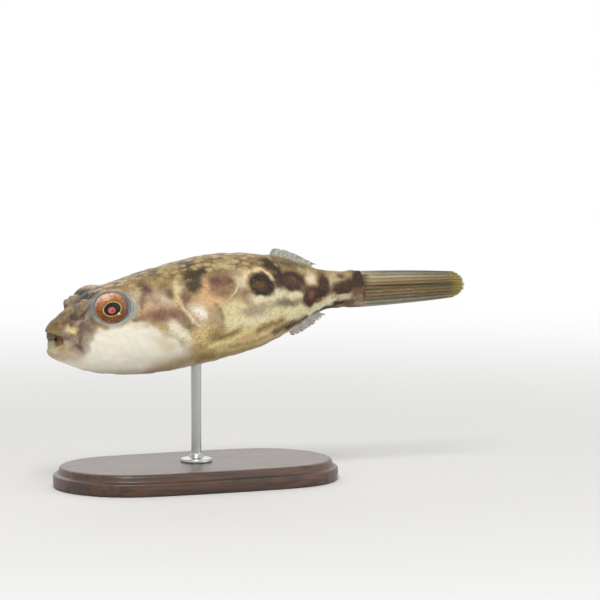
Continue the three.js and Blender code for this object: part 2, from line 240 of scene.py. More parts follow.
class Finish:
    """A material being wired, with its Principled shader and the settings that never vary."""

    def __init__(self, name, fixed):
        self.material = bpy.data.materials.new(name)
        self.material.use_nodes = True
        self.tree = self.material.node_tree
        self.shader = self.tree.nodes["Principled BSDF"]
        for label, value in fixed.items():
            self.shader.inputs[label].default_value = value
        self.place = self.node("ShaderNodeTexCoord", out="Object")

    def node(self, kind, settings=None, inputs=None, out=None):
        """Adds a node, sets and feeds it, and returns it, or the Signal of the output named."""
        made = self.tree.nodes.new(kind)
        for label, value in (settings or {}).items():
            if label == "stops":
                self.set_stops(made.color_ramp, value)
            else:
                setattr(made, label, value)
        for label, value in (inputs or {}).items():
            self.feed(made.inputs[label], value)
        return made if out is None else Signal(self, made.outputs[out])

    def set_stops(self, ramp, stops):
        """Sets a colour ramp to rows of (place, colour)."""
        while len(ramp.elements) < len(stops):
            ramp.elements.new(0.5)
        for element, (place, colour) in zip(ramp.elements, stops):
            element.position, element.color = place, (*colour, 1)

    def feed(self, socket, value):
        """Links a Signal to the socket, or sets the socket to a plain value."""
        if isinstance(value, Signal):
            self.tree.links.new(value.socket, socket)
        elif isinstance(value, tuple) and len(value) == 3 and socket.type == "RGBA":
            socket.default_value = (*value, 1)
        else:
            socket.default_value = value

    def fact(self, name, out="Fac"):
        """What the mesh keeps at each point under that name."""
        return self.node("ShaderNodeAttribute", {"attribute_name": name}, out=out)

    def noise(self, size, detail=3.0, rough=0.5, twist=0.0, where=None):
        """Soft noise whose patches are about size millimetres across."""
        inputs = {"Vector": where or self.place, "Scale": 1000 / size, "Detail": detail}
        inputs.update({"Roughness": rough, "Distortion": twist})
        return self.node("ShaderNodeTexNoise", None, inputs, out="Fac")

    def cells(self, size, where=None):
        """Distance to the nearest of many scattered points, about size millimetres apart."""
        inputs = {"Vector": where or self.place, "Scale": 1000 / size}
        return self.node("ShaderNodeTexVoronoi", None, inputs, out="Distance")

    def mix(self, share, first, second, blend="MIX"):
        """The first colour where share is 0 and the second where it is 1."""
        settings = {"data_type": "RGBA", "blend_type": blend, "clamp_factor": True}
        return self.node("ShaderNodeMix", settings, {0: share, 6: first, 7: second}, out=2)

    def lay(self, share, colour, blend="MIX"):
        """Lays a screen colour over the finish's colour so far, as much as share says."""
        self.colour = self.mix(share, self.colour, tone(*colour), blend)

    def bump(self, height, strength, distance_mm):
        """A normal that makes height look raised by up to distance_mm."""
        inputs = {"Height": height, "Strength": strength, "Distance": distance_mm / 1000}
        return self.node("ShaderNodeBump", None, inputs, out="Normal")

    def give(self, **links):
        """Feeds the colour and the shader's other sockets, named with underscores for spaces."""
        self.feed(self.shader.inputs["Base Color"], self.colour)
        for label, value in links.items():
            self.feed(self.shader.inputs[label.replace("_", " ")], value)
        return self.material


def tone(red, green, blue):
    """A colour given as screen values from 0 to 255, turned into the linear values Blender uses."""
    screen = np.array([red, green, blue]) / 255
    linear = np.where(screen < 0.04045, screen / 12.92, ((screen + 0.055) / 1.055) ** 2.4)
    return tuple(float(value) for value in linear)


print("screen value 128 is", round(tone(128, 128, 128)[0], 3), "as an amount of light")


# %% [markdown]
# ## The body's outline
#
# A fish's body is easiest to describe by its cross sections. Each row says, at one distance
# behind the snout, how high the back and the belly are, at which height the body is widest, half
# of that width, and how square the section is: 2 is an ellipse, more is boxier. Between rows the
# numbers follow a smooth curve, so sixteen rows give the whole body.

# %% Body sections
#            behind  back  belly widest  half  square
SECTIONS = [
    (0.0, 12.6, 7.4, 10.2, 2.2, 2.2),
    (1.2, 15.4, 5.8, 10.5, 3.3, 2.2),
    (3.5, 17.4, 4.7, 11.0, 4.4, 2.2),
    (7.3, 20.2, 3.2, 12.0, 6.1, 2.3),
    (10.8, 23.0, 1.9, 13.1, 7.8, 2.4),
    (15.6, 25.0, 0.8, 14.3, 9.5, 2.5),
    (21.5, 26.8, 0.2, 15.1, 10.8, 2.4),
    (28.4, 29.0, 0.0, 15.7, 11.7, 2.2),
    (37.2, 31.1, 0.7, 16.3, 12.3, 2.1),
    (47.0, 33.1, 2.3, 17.1, 12.4, 2.0),
    (56.7, 33.5, 4.3, 17.9, 11.4, 2.0),
    (66.5, 32.5, 7.1, 19.1, 9.2, 2.0),
    (74.3, 30.4, 10.9, 20.3, 6.6, 2.0),
    (81.1, 28.2, 15.2, 21.5, 4.7, 2.0),
    (88.0, 27.1, 16.4, 21.8, 3.5, 2.0),
    (stalk_end, 27.0, 16.4, 21.8, 2.1, 2.0),
]


def body_at(x, angle):
    """A point of the body for each x and angle: the section's half width times the sine, and its
    height times the cosine, each raised to 2 / square. Angle 0 is the back, and it turns by the
    fish's left, which is -y."""
    back, belly, widest, half, square = curve_through(SECTIONS, x)
    side, up = np.sin(angle), np.cos(angle)
    height = np.where(up > 0, back - widest, widest - belly)
    y = -half * signed_power(side, 2 / square)
    return np.stack([x + 0 * y, y, widest + height * signed_power(up, 2 / square)], -1)


def back_at(x):
    return curve_through(SECTIONS, x)[0]


def belly_at(x):
    return curve_through(SECTIONS, x)[1]


print("47 mm behind the snout the body is", round(float(back_at(47) - belly_at(47)), 1), "mm high")


# %% [markdown]
# ## Rings from the throat to the tail
#
# The skin is one tube. It begins where tongue and palate meet, comes forward along the lining of
# the mouth, rolls outwards over the lips and runs back over the face and body to the root of the
# tail fin. The lips can't be cut from the body's outline, because a mouth's edge isn't a flat
# ring: its corners lie far behind its front. So each mouth ring is set back at its sides, and the
# rings after it lose that setback little by little.

# %% The skin's rings
ACROSS = 240
angles = (np.arange(ACROSS) + 0.5) / ACROSS * 2 * np.pi

#            front  setback half  middle  up   down
MOUTH_RINGS = [
    (1.9, 0.5, 0.6, 11.3, 0.15, 0.15),
    (1.95, 0.9, 1.7, 11.3, 0.45, 0.45),
    (1.9, 1.6, 2.6, 11.2, 0.9, 0.95),
    (1.5, 2.4, 3.05, 11.1, 1.35, 1.6),
    (1.0, 3.1, 3.25, 11.0, 1.75, 2.3),
    (0.35, 3.7, 3.5, 10.85, 2.05, 2.55),
    (0.0, 3.9, 3.8, 10.5, 2.8, 2.95),
    (0.3, 3.8, 4.15, 10.3, 3.85, 3.5),
]
LOWER_LIP_BEHIND = 0.45
#            front  setback
FACE_RINGS = [(1.3, 3.1), (2.7, 2.5), (4.6, 1.8), (7.2, 1.0), (10.0, 0.4)]


def mouth_ring(front, setback, half, middle, up, down):
    """A rounded box of half width half that reaches up above and down below its middle. Its sides
    are set back by the sine to the power 3, and its lower half lies a little behind the upper."""
    side, rise = np.sin(angles), np.cos(angles)
    height = np.where(rise > 0, up, down)
    y = -half * signed_power(side, 0.85)
    z = middle + height * signed_power(rise, 0.55)
    return np.stack([front + setback * np.abs(side) ** 3 + chin_behind(front, angles), y, z], -1)


def chin_behind(x, angle):
    """How far the lower lip lies behind the upper one: all of it in front, none from 5 mm back."""
    low = ease(-np.cos(angle), 0.0, 0.5)
    return LOWER_LIP_BEHIND * low * np.clip(1 - x / 5, 0, 1)


def face_ring(front, setback):
    """The body's own surface, met further back at the sides by setback times the sine squared."""
    ring = body_at(front + setback * np.sin(angles) ** 2, angles)
    ring[:, 0] += chin_behind(front, angles)
    return ring


STALK_MIDDLE, STALK_HALF = 21.7, 5.3


def stalk_cap(behind, narrow, bulge):
    """The stalk's last section, narrowed round the root of the tail fin. A little below its middle
    it runs bulge further back than at its top and bottom, as flesh does over the roots of rays."""
    ring = body_at(np.full(ACROSS, stalk_end - 0.3), angles)
    level = (ring[:, 2] - STALK_MIDDLE) / STALK_HALF
    ring[:, 0] += behind + bulge * (1 - level**2) * (1 - 0.35 * level)
    return ring * [1, narrow, 1] + [0, 0, -0.04 * behind] * level[:, None]


#    further back, narrowed to, bulge
STALK_CAPS = [
    (-2.6, 0.95, 0.0),
    (-1.4, 0.82, 0.15),
    (-0.3, 0.60, 0.6),
    (0.3, 0.38, 1.1),
    (0.6, 0.18, 1.6),
]
mouth = [mouth_ring(*row) for row in MOUTH_RINGS]
face = [face_ring(*row) for row in FACE_RINGS]
body = [body_at(np.full(ACROSS, x), angles) for x in np.arange(13.0, stalk_end - 4, 3.0)]
end = [stalk_cap(*row) for row in STALK_CAPS]
rings = np.array(mouth + face + body + end)
print(len(rings), "rings of", ACROSS, "points")

# %% [markdown]
# Between the rings every column of points follows the same kind of smooth curve. The rows are
# packed closely where there is much to show, at the mouth and the eyes, and stand further apart
# along the plain flank.

# %% Rows of the skin
LIP_GAP, EYE_GAP, WIDER_BEHIND = 0.26, 0.17, 0.21
spacing = np.linalg.norm(np.diff(rings, axis=0), axis=2)
stations = np.concatenate([[0], np.cumsum(0.5 * spacing.mean(axis=1) + 0.5 * spacing.min(axis=1))])
fine = np.linspace(0, stations[-1], 4000)
along = np.interp(fine, stations, rings[:, 0, 0])
lips_done = stations[len(mouth) - 1]
wanted = np.where(fine < lips_done, LIP_GAP, EYE_GAP + WIDER_BEHIND * ease(along, 22, 30))
count = np.concatenate([[0], np.cumsum(np.diff(fine) / wanted[:-1])])
rows = np.interp(np.arange(0, count[-1], 1.0), count, fine)
table = np.hstack([stations[:, None], rings.reshape(len(rings), -1)])
skin_grid = np.moveaxis(curve_through(table, rows), 0, -1).reshape(len(rows), ACROSS, 3)
outside = ease(rows, lips_done - 0.6, lips_done + 1.5)[:, None]
inside = 1 - ease(rows, stations[4] - 0.2, stations[5])[:, None]
print(len(rows), "rows, so", 2 * len(rows) * ACROSS, "triangles")

# %% [markdown]
# ## Eyes that stand out
#
# A puffer's eyes sit high on the sides of the head and look a little forwards and upwards. The
# swelling, rim, eyeball and iris all need the same centre and the same directions, so these are
# worked out once: straight out of the eye, towards the tail along its face, and up along its face.

# %% Where each eye points
EYE_X, EYE_Y, EYE_Z = 16.7, 6.9, 19.9
FORWARD, UPWARD = np.radians(8), np.radians(8)
LONGER = 1.13


def eye_axes(side):
    """The eye's centre, then unit lines out of the eye, towards the tail, and up along its face."""
    centre = np.array([EYE_X, side * EYE_Y, EYE_Z])
    out = np.array([
        -np.sin(FORWARD),
        side * np.cos(FORWARD) * np.cos(UPWARD),
        np.cos(FORWARD) * np.sin(UPWARD),
    ])
    up = np.array([0, 0, 1]) - out[2] * out
    up /= np.linalg.norm(up)
    tailward = np.cross(up, out) * -side
    return centre, out, tailward, up


print("the left eye looks along", eye_axes(-1)[1].round(2))


# %% [markdown]
# The skin stands out in a swelling round each eye, and each nostril is a fleshy flap that forks
# into lobes. Separate shapes could be pushed into the head, but their joins would show. Instead
# each starts as an egg: where a line from the middle of the body to the skin would come out
# through an egg further on, the skin is moved out to it. A smooth maximum of the two distances
# rounds the join, so that the flaps grow out of the skin with no seam.

# %% Swell the skin round eyes and nostrils
def smooth_maximum(a, b, width):
    """The larger of a and b, with the corner between them rounded over width."""
    blend = np.clip(0.5 + 0.5 * (a - b) / width, 0, 1)
    return b + (a - b) * blend + width * blend * (1 - blend)


def swell(points, centre, axes, radii, blend):
    """Moves points out, along the line from the section's middle, to the far side of the egg with
    those centre, axes and radii, and returns how far each point went."""
    widest = curve_through(SECTIONS, points[..., 0])[2]
    middle = np.stack([points[..., 0], 0 * widest, widest], -1)
    reach = np.linalg.norm(points - middle, axis=-1)
    heading = (points - middle) / np.maximum(reach, 1e-6)[..., None]
    q = (middle - centre) @ axes / radii
    w = heading @ axes / radii
    a, b, c = (w * w).sum(-1), (q * w).sum(-1), (q * q).sum(-1) - 1
    hit = b * b - a * c
    far = np.where(hit > 0, (-b + np.sqrt(np.maximum(hit, 0))) / a, 0)
    rise = (smooth_maximum(far, reach, blend) - reach) * outside
    return points + heading * rise[..., None], rise


#     x    z   half  high  lean back
NOSTRIL_LOBES = [
    (8.0, 20.1, 1.2, 1.6, -16),
    (9.6, 21.0, 1.4, 1.7, 0),
    (10.6, 21.1, 1.1, 1.5, 14),
]
NOSTRIL_Y, NOSTRIL_OUT = 5.0, np.radians(24)


def lobe_axes(side, lean):
    """Unit lines along a nostril lobe's width, through its thickness and up its length."""
    s, c = np.sin(NOSTRIL_OUT), np.cos(NOSTRIL_OUT)
    back, upright = np.sin(np.radians(lean)), np.cos(np.radians(lean))
    return np.array([
        [upright, -side * s * back, -c * back],
        [0, c, -side * s],
        [back, side * s * upright, c * upright],
    ]).T


flap, near_flap = np.zeros(skin_grid.shape[:2]), np.zeros(skin_grid.shape[:2])
for side in (-1, 1):
    centre, out, tailward, up = eye_axes(side)
    egg = np.stack([tailward, out, up], 1)
    skin_grid, _ = swell(skin_grid, centre - 0.7 * out - [0, 0, 0.5], egg, (7.0, 4.4, 5.35), 0.8)
for side in (-1, 1):
    for lobe_x, lobe_z, half, high, lean in NOSTRIL_LOBES:
        centre = np.array([lobe_x, side * NOSTRIL_Y, lobe_z])
        skin_grid, rise = swell(skin_grid, centre, lobe_axes(side, lean), (half, 0.72, high), 0.35)
        flap = np.maximum(flap, rise)
        away = np.linalg.norm(skin_grid - centre, axis=2)
        near_flap = np.maximum(near_flap, 1 - ease(away, high * 0.8, high * 1.25))
print("widest at the eyes:", round(float(np.abs(skin_grid[:, :, 1]).max()), 2), "mm to a side")
print("nostril flaps stand", round(float(flap.max()), 2), "mm out")

# %% [markdown]
# ## Folds, slits and fleshy roots
#
# Small relief is added along the skin's own normals: a groove follows a short path drawn on the
# side of the fish, and a mound is a soft bump. The gill slit in front of the pectoral fin, the
# fold behind the lips and the rolls under the dorsal and anal fins are all made so.

# %% Paths, grooves and mounds on the flank
def distance_to_path(x, z, path):
    """The shortest distance from each (x, z) to a chain of straight stretches."""
    nearest = np.full(np.shape(x), 1e9)
    for (x0, z0), (x1, z1) in zip(path[:-1], path[1:]):
        dx, dz = x1 - x0, z1 - z0
        t = np.clip(((x - x0) * dx + (z - z0) * dz) / (dx * dx + dz * dz), 0, 1)
        nearest = np.minimum(nearest, np.hypot(x - x0 - t * dx, z - z0 - t * dz))
    return nearest


def groove(x, z, path, width):
    """1 along the path, falling to 0 as a bell curve of the given width."""
    return np.exp(-((distance_to_path(x, z, path) / width) ** 2))


def mound(x, z, centre, radii, turn=0.0):
    """1 at the centre, falling as a bell curve over an oval turned by turn degrees."""
    c, s = np.cos(np.radians(turn)), np.sin(np.radians(turn))
    dx, dz = x - centre[0], z - centre[1]
    return np.exp(-(((dx * c + dz * s) / radii[0]) ** 2) - ((-dx * s + dz * c) / radii[1]) ** 2)


def normals_of(grid):
    """Unit cross product of the two directions of the grid, pointing away from its middle line."""
    down = np.gradient(grid, axis=0)
    over = np.roll(grid, -1, axis=1) - np.roll(grid, 1, axis=1)
    normal = np.cross(down, over)
    normal /= np.maximum(np.linalg.norm(normal, axis=2), 1e-9)[..., None]
    outward = (normal * (grid - grid.mean(axis=1, keepdims=True))).sum()
    return normal * np.sign(outward)


print("half a width beside a path a groove is", round(float(groove(0.5, 0, [(0, -9), (0, 9)], 1)), 2))


# %% [markdown]
# Each fold is one line of code: a height in millimetres times a groove or a mound. The roots of
# the dorsal and anal fins are rolls along the middle line, and two faint ripples keep the plain
# skin from looking cast. All of it is added up first and the skin is moved once.

# %% Relief of the skin
GILL_SLIT = [(35.4, 23.2), (36.0, 21.2), (37.2, 19.2), (39.2, 17.0), (41.2, 15.0)]
LIP_FOLD = [(10.2, 18.8), (8.4, 17.4), (7.2, 15.4), (6.9, 12.6), (7.3, 9.6), (8.0, 8.2)]
CORNER_FOLD = [(4.3, 11.4), (5.0, 9.8), (5.2, 8.0)]
x, y, z = np.moveaxis(skin_grid, -1, 0)
sideways = np.abs(y)


def fin_roll(width, at_edge, start, end):
    """A roll along the middle line from start to end, fading over its first and last 3 mm."""
    return np.exp(-((y / width) ** 2)) * at_edge * ease(x, start, start + 3) * ease(-x, -end, 3 - end)


relief = -0.75 * groove(x, z, GILL_SLIT, 0.42) * ease(sideways, 6, 8)
relief += 0.35 * groove(x + 1.0, z + 0.4, GILL_SLIT, 0.7) * ease(sideways, 6, 8)
relief -= 0.36 * groove(x, z, LIP_FOLD, 0.8)
relief -= 0.25 * groove(x, z, CORNER_FOLD, 0.5)
relief += 0.75 * mound(x, z, (41.5, 18.0), (2.6, 4.2), 60) * ease(sideways, 6, 9)
relief += 0.4 * fin_roll(1.5, ease(z, 26, 28), 65.5, 82.5)
relief += 0.35 * fin_roll(1.4, ease(-z, -17.5, -15), 71.5, 85)
relief += 0.07 * ripple(skin_grid, 5.0, 3) + 0.035 * ripple(skin_grid, 2.2, 4)
skin_grid = skin_grid + normals_of(skin_grid) * (relief * outside)[..., None]
print("relief from", round(float(relief.min()), 2), "to", round(float(relief.max()), 2), "mm")

# %% [markdown]
# ## The rim of the eye
#
# Round the clear front of the eye the skin makes a low glassy rim, and inside the rim it dives
# behind the eyeball. Seen along the eye's own axis this is a curve of height against distance
# from the middle, the same all the way round, so it is set directly.

# %% Seat the eyes
#    from the middle, height over the eye's centre
RIM = [
    (0.0, 0.6),
    (3.4, 1.1),
    (4.2, 2.0),
    (4.7, 2.66),
    (5.1, 2.72),
    (5.7, 2.1),
    (6.5, 1.0),
    (8.0, -0.9),
]


def seat_eye(points, side):
    """Replaces height along the eye's axis by the rim's curve, fading out from 5.1 to 6.8 mm. The
    eye is a little longer than tall, so distances along it count for less."""
    centre, out, tailward, up = eye_axes(side)
    rel = points - centre
    height, right, rise = rel @ out, rel @ tailward, rel @ up
    away = np.hypot(right / LONGER, rise * (1 + 0.09 * ease(rise, 2, 5)))
    brow = 0.3 * mound(right, rise, (-1.8, 4.7), (3.4, 0.6))
    target = curve_through(RIM, away)[0] + brow
    share = (1 - ease(away, 5.1, 6.8)) * ease(height, -1.5, 0.3)
    ring = np.hypot((right - 0.4) / 6.9, (rise + 0.1) / 5.0) + 0.6 * (1 - ease(height, -1.4, 0.8))
    return points + out * ((target - height) * share)[..., None], away, ring, rise


from_eye, eye_ring, eye_rise = (np.full(skin_grid.shape[:2], 99.0) for _ in range(3))
for side in (-1, 1):
    near = (skin_grid[..., 1] * side > 1.0) & (skin_grid[..., 2] > 11) & (outside > 0.5)
    skin_grid, away, ring, rise = seat_eye(skin_grid, side)
    from_eye = np.where(near, away, from_eye)
    eye_ring = np.where(near, ring, eye_ring)
    eye_rise = np.where(near, rise, eye_rise)
print("points inside the eyes' rims:", int((from_eye < 4.9).sum()))

# %% [markdown]
# ## Markings
#
# The markings are painted in layers, as on a museum cast: a ground colour, the white belly, then
# each blotch, line and spot by name, and among them a few patches of painted shade. They could be
# an image wrapped round the body, but a colour kept at each point of a fine mesh needs no wrapping
# and stretches nowhere. Places are in the fish's millimetres on its side. Soft ripples bend every
# edge a little, and the right flank gets its own ripples, so that the two sides are alike and yet
# not mirror images.

# %% A painter for the skin
class Painter:
    """Colour at each point of the skin, laid on in layers. Colours are screen values."""

    def __init__(self, points, ground):
        left = points[..., 1] < 0
        bend = [np.where(left, ripple(points, 4.0, s), ripple(points, 4.0, s + 50)) for s in (11, 12)]
        fine = [np.where(left, ripple(points, 1.5, s), ripple(points, 1.5, s + 50)) for s in (13, 14)]
        drift = [np.where(left, 0, ripple(points, 15.0, s)) for s in (61, 62)]
        self.x = points[..., 0] + 0.2 * bend[0] + 0.13 * fine[0] + 0.8 * drift[0]
        self.z = points[..., 2] + 0.16 * bend[1] + 0.13 * fine[1] + 0.5 * drift[1]
        self.colour = np.ones(points.shape) * tone(*ground)

    def lay(self, share, colour):
        """Lays a colour over what is there, as much as share says at each point."""
        self.colour += np.clip(share, 0, 1)[..., None] * (np.array(tone(*colour)) - self.colour)

    def oval(self, centre, radii, colour, soft=0.4, strength=1.0, turn=0):
        """An oval patch: full inside 1 - soft times its radii, gone at 1 + soft times them."""
        c, s = np.cos(np.radians(turn)), np.sin(np.radians(turn))
        dx, dz = self.x - centre[0], self.z - centre[1]
        away = np.hypot((dx * c + dz * s) / radii[0], (-dx * s + dz * c) / radii[1])
        self.lay(strength * (1 - ease(away, 1 - soft, 1 + soft)), colour)

    def line(self, path, width, colour, soft=0.7, strength=1.0):
        """A line of the given width along a path."""
        away = distance_to_path(self.x, self.z, path) / (width / 2)
        self.lay(strength * (1 - ease(away, 1 - soft, 1 + soft)), colour)

    def paint(self, part, marks):
        """Lays on a table of marks in order: a line where the place is a list, else an oval."""
        for place, size, colour, *how in marks.values():
            draw = self.line if isinstance(place, list) else self.oval
            draw(place, size, colour, *how)
        print(part, "has", len(marks), "marks")


CREAM = (232, 218, 174)
WHITE = (244, 238, 220)
TAN = (190, 164, 116)
OLIVE = (140, 116, 68)
BROWN = (112, 82, 60)
DARK = (46, 33, 27)
ROSE = (170, 134, 108)

# %% [markdown]
# The ground comes first: tan all over, olive towards the back, cream on the flank, and white under
# head and chest up to an edge that rises and falls like a waterline. The lowest part of the belly
# is darkened with painted shade, as light from above leaves it, and two soft ovals of painted
# shade dull the white below the gill slit.

# %% Ground and belly
painter = Painter(skin_grid, TAN)
px, pz = painter.x, painter.z
over_back = ease(pz - back_at(px), -7.5, -2.5)
painter.lay(0.6 * over_back, OLIVE)
painter.lay(ease(px, 44, 52) * ease(-pz, -23, -17), CREAM)
#    behind the snout, height of the white's edge
BELLY_EDGE = [
    (0, 8.0), (6, 8.2), (9.6, 9.6), (12, 13.8), (17, 15.4), (23, 16.1), (27, 15.2),
    (30, 13.8), (34, 12.0), (38, 9.2), (42, 5.8), (50, 0.6), (60, 1.0), (100, 10.0),
]
edge = pz - curve_through(BELLY_EDGE, px)[0] + 0.45 * ripple(skin_grid, 3.0, 15)
gentler = ease(px, 33, 40)
white = 1 - ease(edge, -2.0 - 2.0 * gentler, 1.1 + 1.6 * gentler)
painter.lay(white, WHITE)
# Painted shade along the lowest part of the belly.
painter.lay(0.55 * ease(-pz, -3.2, -0.6), (166, 145, 114))
# Two soft ovals of painted shade that dull the white.
painter.oval((31.5, 9.6), (3.6, 1.6), (216, 198, 148), 0.7, 0.6, -30)
painter.oval((36.5, 3.6), (7.0, 2.2), (196, 172, 132), 0.8, 0.7, 4)
print("belly painted; white over", round(float(white.mean()), 3), "of the skin")

# %% [markdown]
# From here on each part of the fish is a table of marks. A mark's place is the middle of an oval,
# or a list of points for a line. Then come its two radii or its width, its colour, how soft its
# edge is, how much it hides what is under it, and by how many degrees an oval is turned. What is
# left off keeps its usual value. A later mark lies over an earlier one.

# %% Snout and lips
SNOUT = {
    "ground of the snout": ((3.0, 17.0), (7.4, 5.4), (134, 116, 84), 0.35),
    "bridge of the nose": ((8.8, 20.4), (5.2, 3.6), (126, 106, 80), 0.4, 1, 40),
    "pale dash on the bridge": ((6.6, 19.4), (1.6, 0.6), (170, 148, 104), 0.8, 0.7, 36),
    "rusty spot over the lip": ((3.5, 15.6), (1.5, 0.9), (116, 82, 46), 0.8),
    "dark patch behind the lip": ((6.9, 17.1), (2.0, 1.3), (80, 60, 52), 0.7, 1, 24),
    # Painted shade in the fold behind the lips, a band from the mouth's corner upwards.
    "painted shade of the fold behind the mouth": (
        [(8.4, 15.0), (8.0, 12.0), (7.9, 9.8), (8.1, 8.2)], 3.0, (116, 102, 84), 0.9, 0.9,
    ),
    "grey edge behind the fold's shade": ([(10.0, 14.2), (10.0, 11.8), (9.7, 9.4)], 1.9, (164, 158, 146), 1, 0.8),
    # Painted shade: the fold's shade carried further up.
    "upper end of the fold's shade": ([(9.7, 17.4), (9.4, 14.4)], 2.6, (116, 96, 86), 1, 0.9),
    "warm patch before the eye": ((10.8, 16.4), (1.6, 1.8), (138, 112, 100), 0.9, 0.8),
    "shade under the nostril": ((10.0, 19.8), (1.2, 1.5), (72, 56, 47), 0.7),
    "brown spot before it": ((8.2, 18.4), (0.9, 1.0), (100, 74, 60), 0.8),
    "pale fold down to the mouth": (
        [(10.7, 18.9), (9.2, 17.4), (7.7, 15.8)], 1.0, (176, 156, 140), 0.7, 0.85,
    ),
    "dark edge of the fold": ([(9.4, 18.6), (8.6, 16.8)], 0.5, (84, 66, 58), 0.7, 0.6),
    "cream spot by the mouth": ((5.9, 14.0), (1.5, 1.1), (200, 166, 116), 0.8),
    "bright middle of it": ((5.9, 14.0), (1.0, 0.75), (255, 240, 170), 0.9),
    "pale spot before it": ((4.2, 13.6), (0.6, 0.45), (208, 196, 194), 0.9),
    "warm spot below it": ((6.8, 12.6), (0.9, 0.6), (184, 140, 120), 0.9),
    "edge of the upper lip": ([(0.2, 13.3), (2.4, 13.3), (3.8, 13.2)], 1.0, (150, 136, 88), 0.7, 0.8),
}

painter.paint("snout", SNOUT)

# %% [markdown]
# The jaw is pale, with a brown spot behind the mouth's corner. Its lip has a light edge, where it
# turns over into the mouth, and that edge is what makes the mouth read as open.

# %% Jaw and chin
JAW = {
    "side of the jaw": ((5.2, 10.0), (1.9, 3.2), (176, 156, 140), 0.6),
    "corner of the mouth": ((5.2, 12.0), (1.3, 0.9), (124, 112, 102), 0.9),
    "pale spot below it": ((4.7, 9.0), (1.4, 1.2), (198, 172, 138), 0.8),
    "brown spot behind it": ((7.2, 9.2), (0.9, 1.3), (122, 90, 76), 0.9, 0.8),
    "chin": ((1.4, 7.6), (2.6, 1.8), (188, 176, 144), 0.5),
    "edge of the lower lip": ([(0.8, 8.9), (2.4, 9.3), (3.8, 10.4)], 0.8, (224, 200, 152), 0.7, 0.9),
    "brown fleck of the chin": ((3.2, 8.2), (1.0, 0.6), (156, 130, 88), 0.9, 1, 30),
    "throat": ((4.8, 6.4), (3.2, 1.6), (204, 184, 156), 0.9),
}

painter.paint("jaw", JAW)

# %% [markdown]
# Between the eye and the gill slit a rosy band runs along the cheek, and a white slant runs down
# from it to the belly. The slit's groove was cut above; here its edge is lit and its inside is
# shaded, which makes it look deeper than it is.

# %% Cheek and gill cover
CHEEK = {
    "pale bar behind the eye": ((23.6, 22.2), (1.6, 3.4), (198, 176, 136), 0.6, 0.9),
    "warm patch of the cheek": ((29.0, 22.4), (4.6, 3.0), (182, 158, 132), 0.6, 0.9),
    "its light middle": ((31.6, 22.0), (2.2, 1.2), (212, 194, 168), 0.9, 0.8, -20),
    "rosy band": ((30.8, 17.7), (5.6, 2.2), ROSE, 0.5, 1, -4),
    "its narrow front end": ((23.2, 17.0), (3.8, 0.7), (150, 122, 106), 0.8, 0.9),
    "pale patch above it": ((26.2, 20.4), (2.6, 1.2), (208, 176, 142), 0.8, 0.8),
    "brown front of the band": ((29.6, 17.8), (2.4, 1.6), (128, 94, 76), 0.7, 0.9),
    "brown rear of the band": ((34.2, 17.9), (2.1, 1.4), (134, 104, 86), 0.7, 0.9),
    "olive slant to the belly": ((37.6, 15.2), (3.6, 1.6), (150, 132, 100), 0.6, 1, -44),
    "white slant below it": (
        [(33.6, 14.9), (35.2, 13.3), (37.2, 11.6), (39.2, 10.0)], 2.6, (246, 240, 218), 0.9,
    ),
    "dark spot behind the eye": ((26.7, 25.1), (1.7, 1.3), (84, 62, 50), 0.8, 1, -20),
    "brown streak down from it": (
        [(26.4, 24.4), (25.6, 23.0), (25.0, 20.8)], 1.5, (120, 92, 70), 1, 0.85,
    ),
    "dark spot before the gill slit": ((33.4, 23.8), (1.5, 1.2), (104, 80, 62), 0.8, 0.9, -30),
    "faint brown spot": ((31.0, 25.0), (1.1, 0.8), (150, 122, 94), 0.9, 0.7),
    "faint spot above it": ((31.6, 25.8), (1.2, 0.7), (116, 92, 68), 0.7, 0.7, 20),
    "pale column at the gill slit": ((35.4, 24.0), (1.0, 3.0), (224, 204, 158), 0.6, 1, -10),
    "light edge of the gill slit": (GILL_SLIT, 1.1, (232, 208, 172), 0.9),
    "dark edge of the gill slit": (
        [(a + 0.8, b + 0.2) for a, b in GILL_SLIT], 0.7, (132, 102, 80), 0.9, 0.7,
    ),
}

painter.paint("cheek", CHEEK)

# %% [markdown]
# Behind the gill slit stands the dark shoulder blotch, then a rosy oval. The root of the pectoral
# fin is the palest place on the flank, ringed by an olive line, and shows through the clear fin.

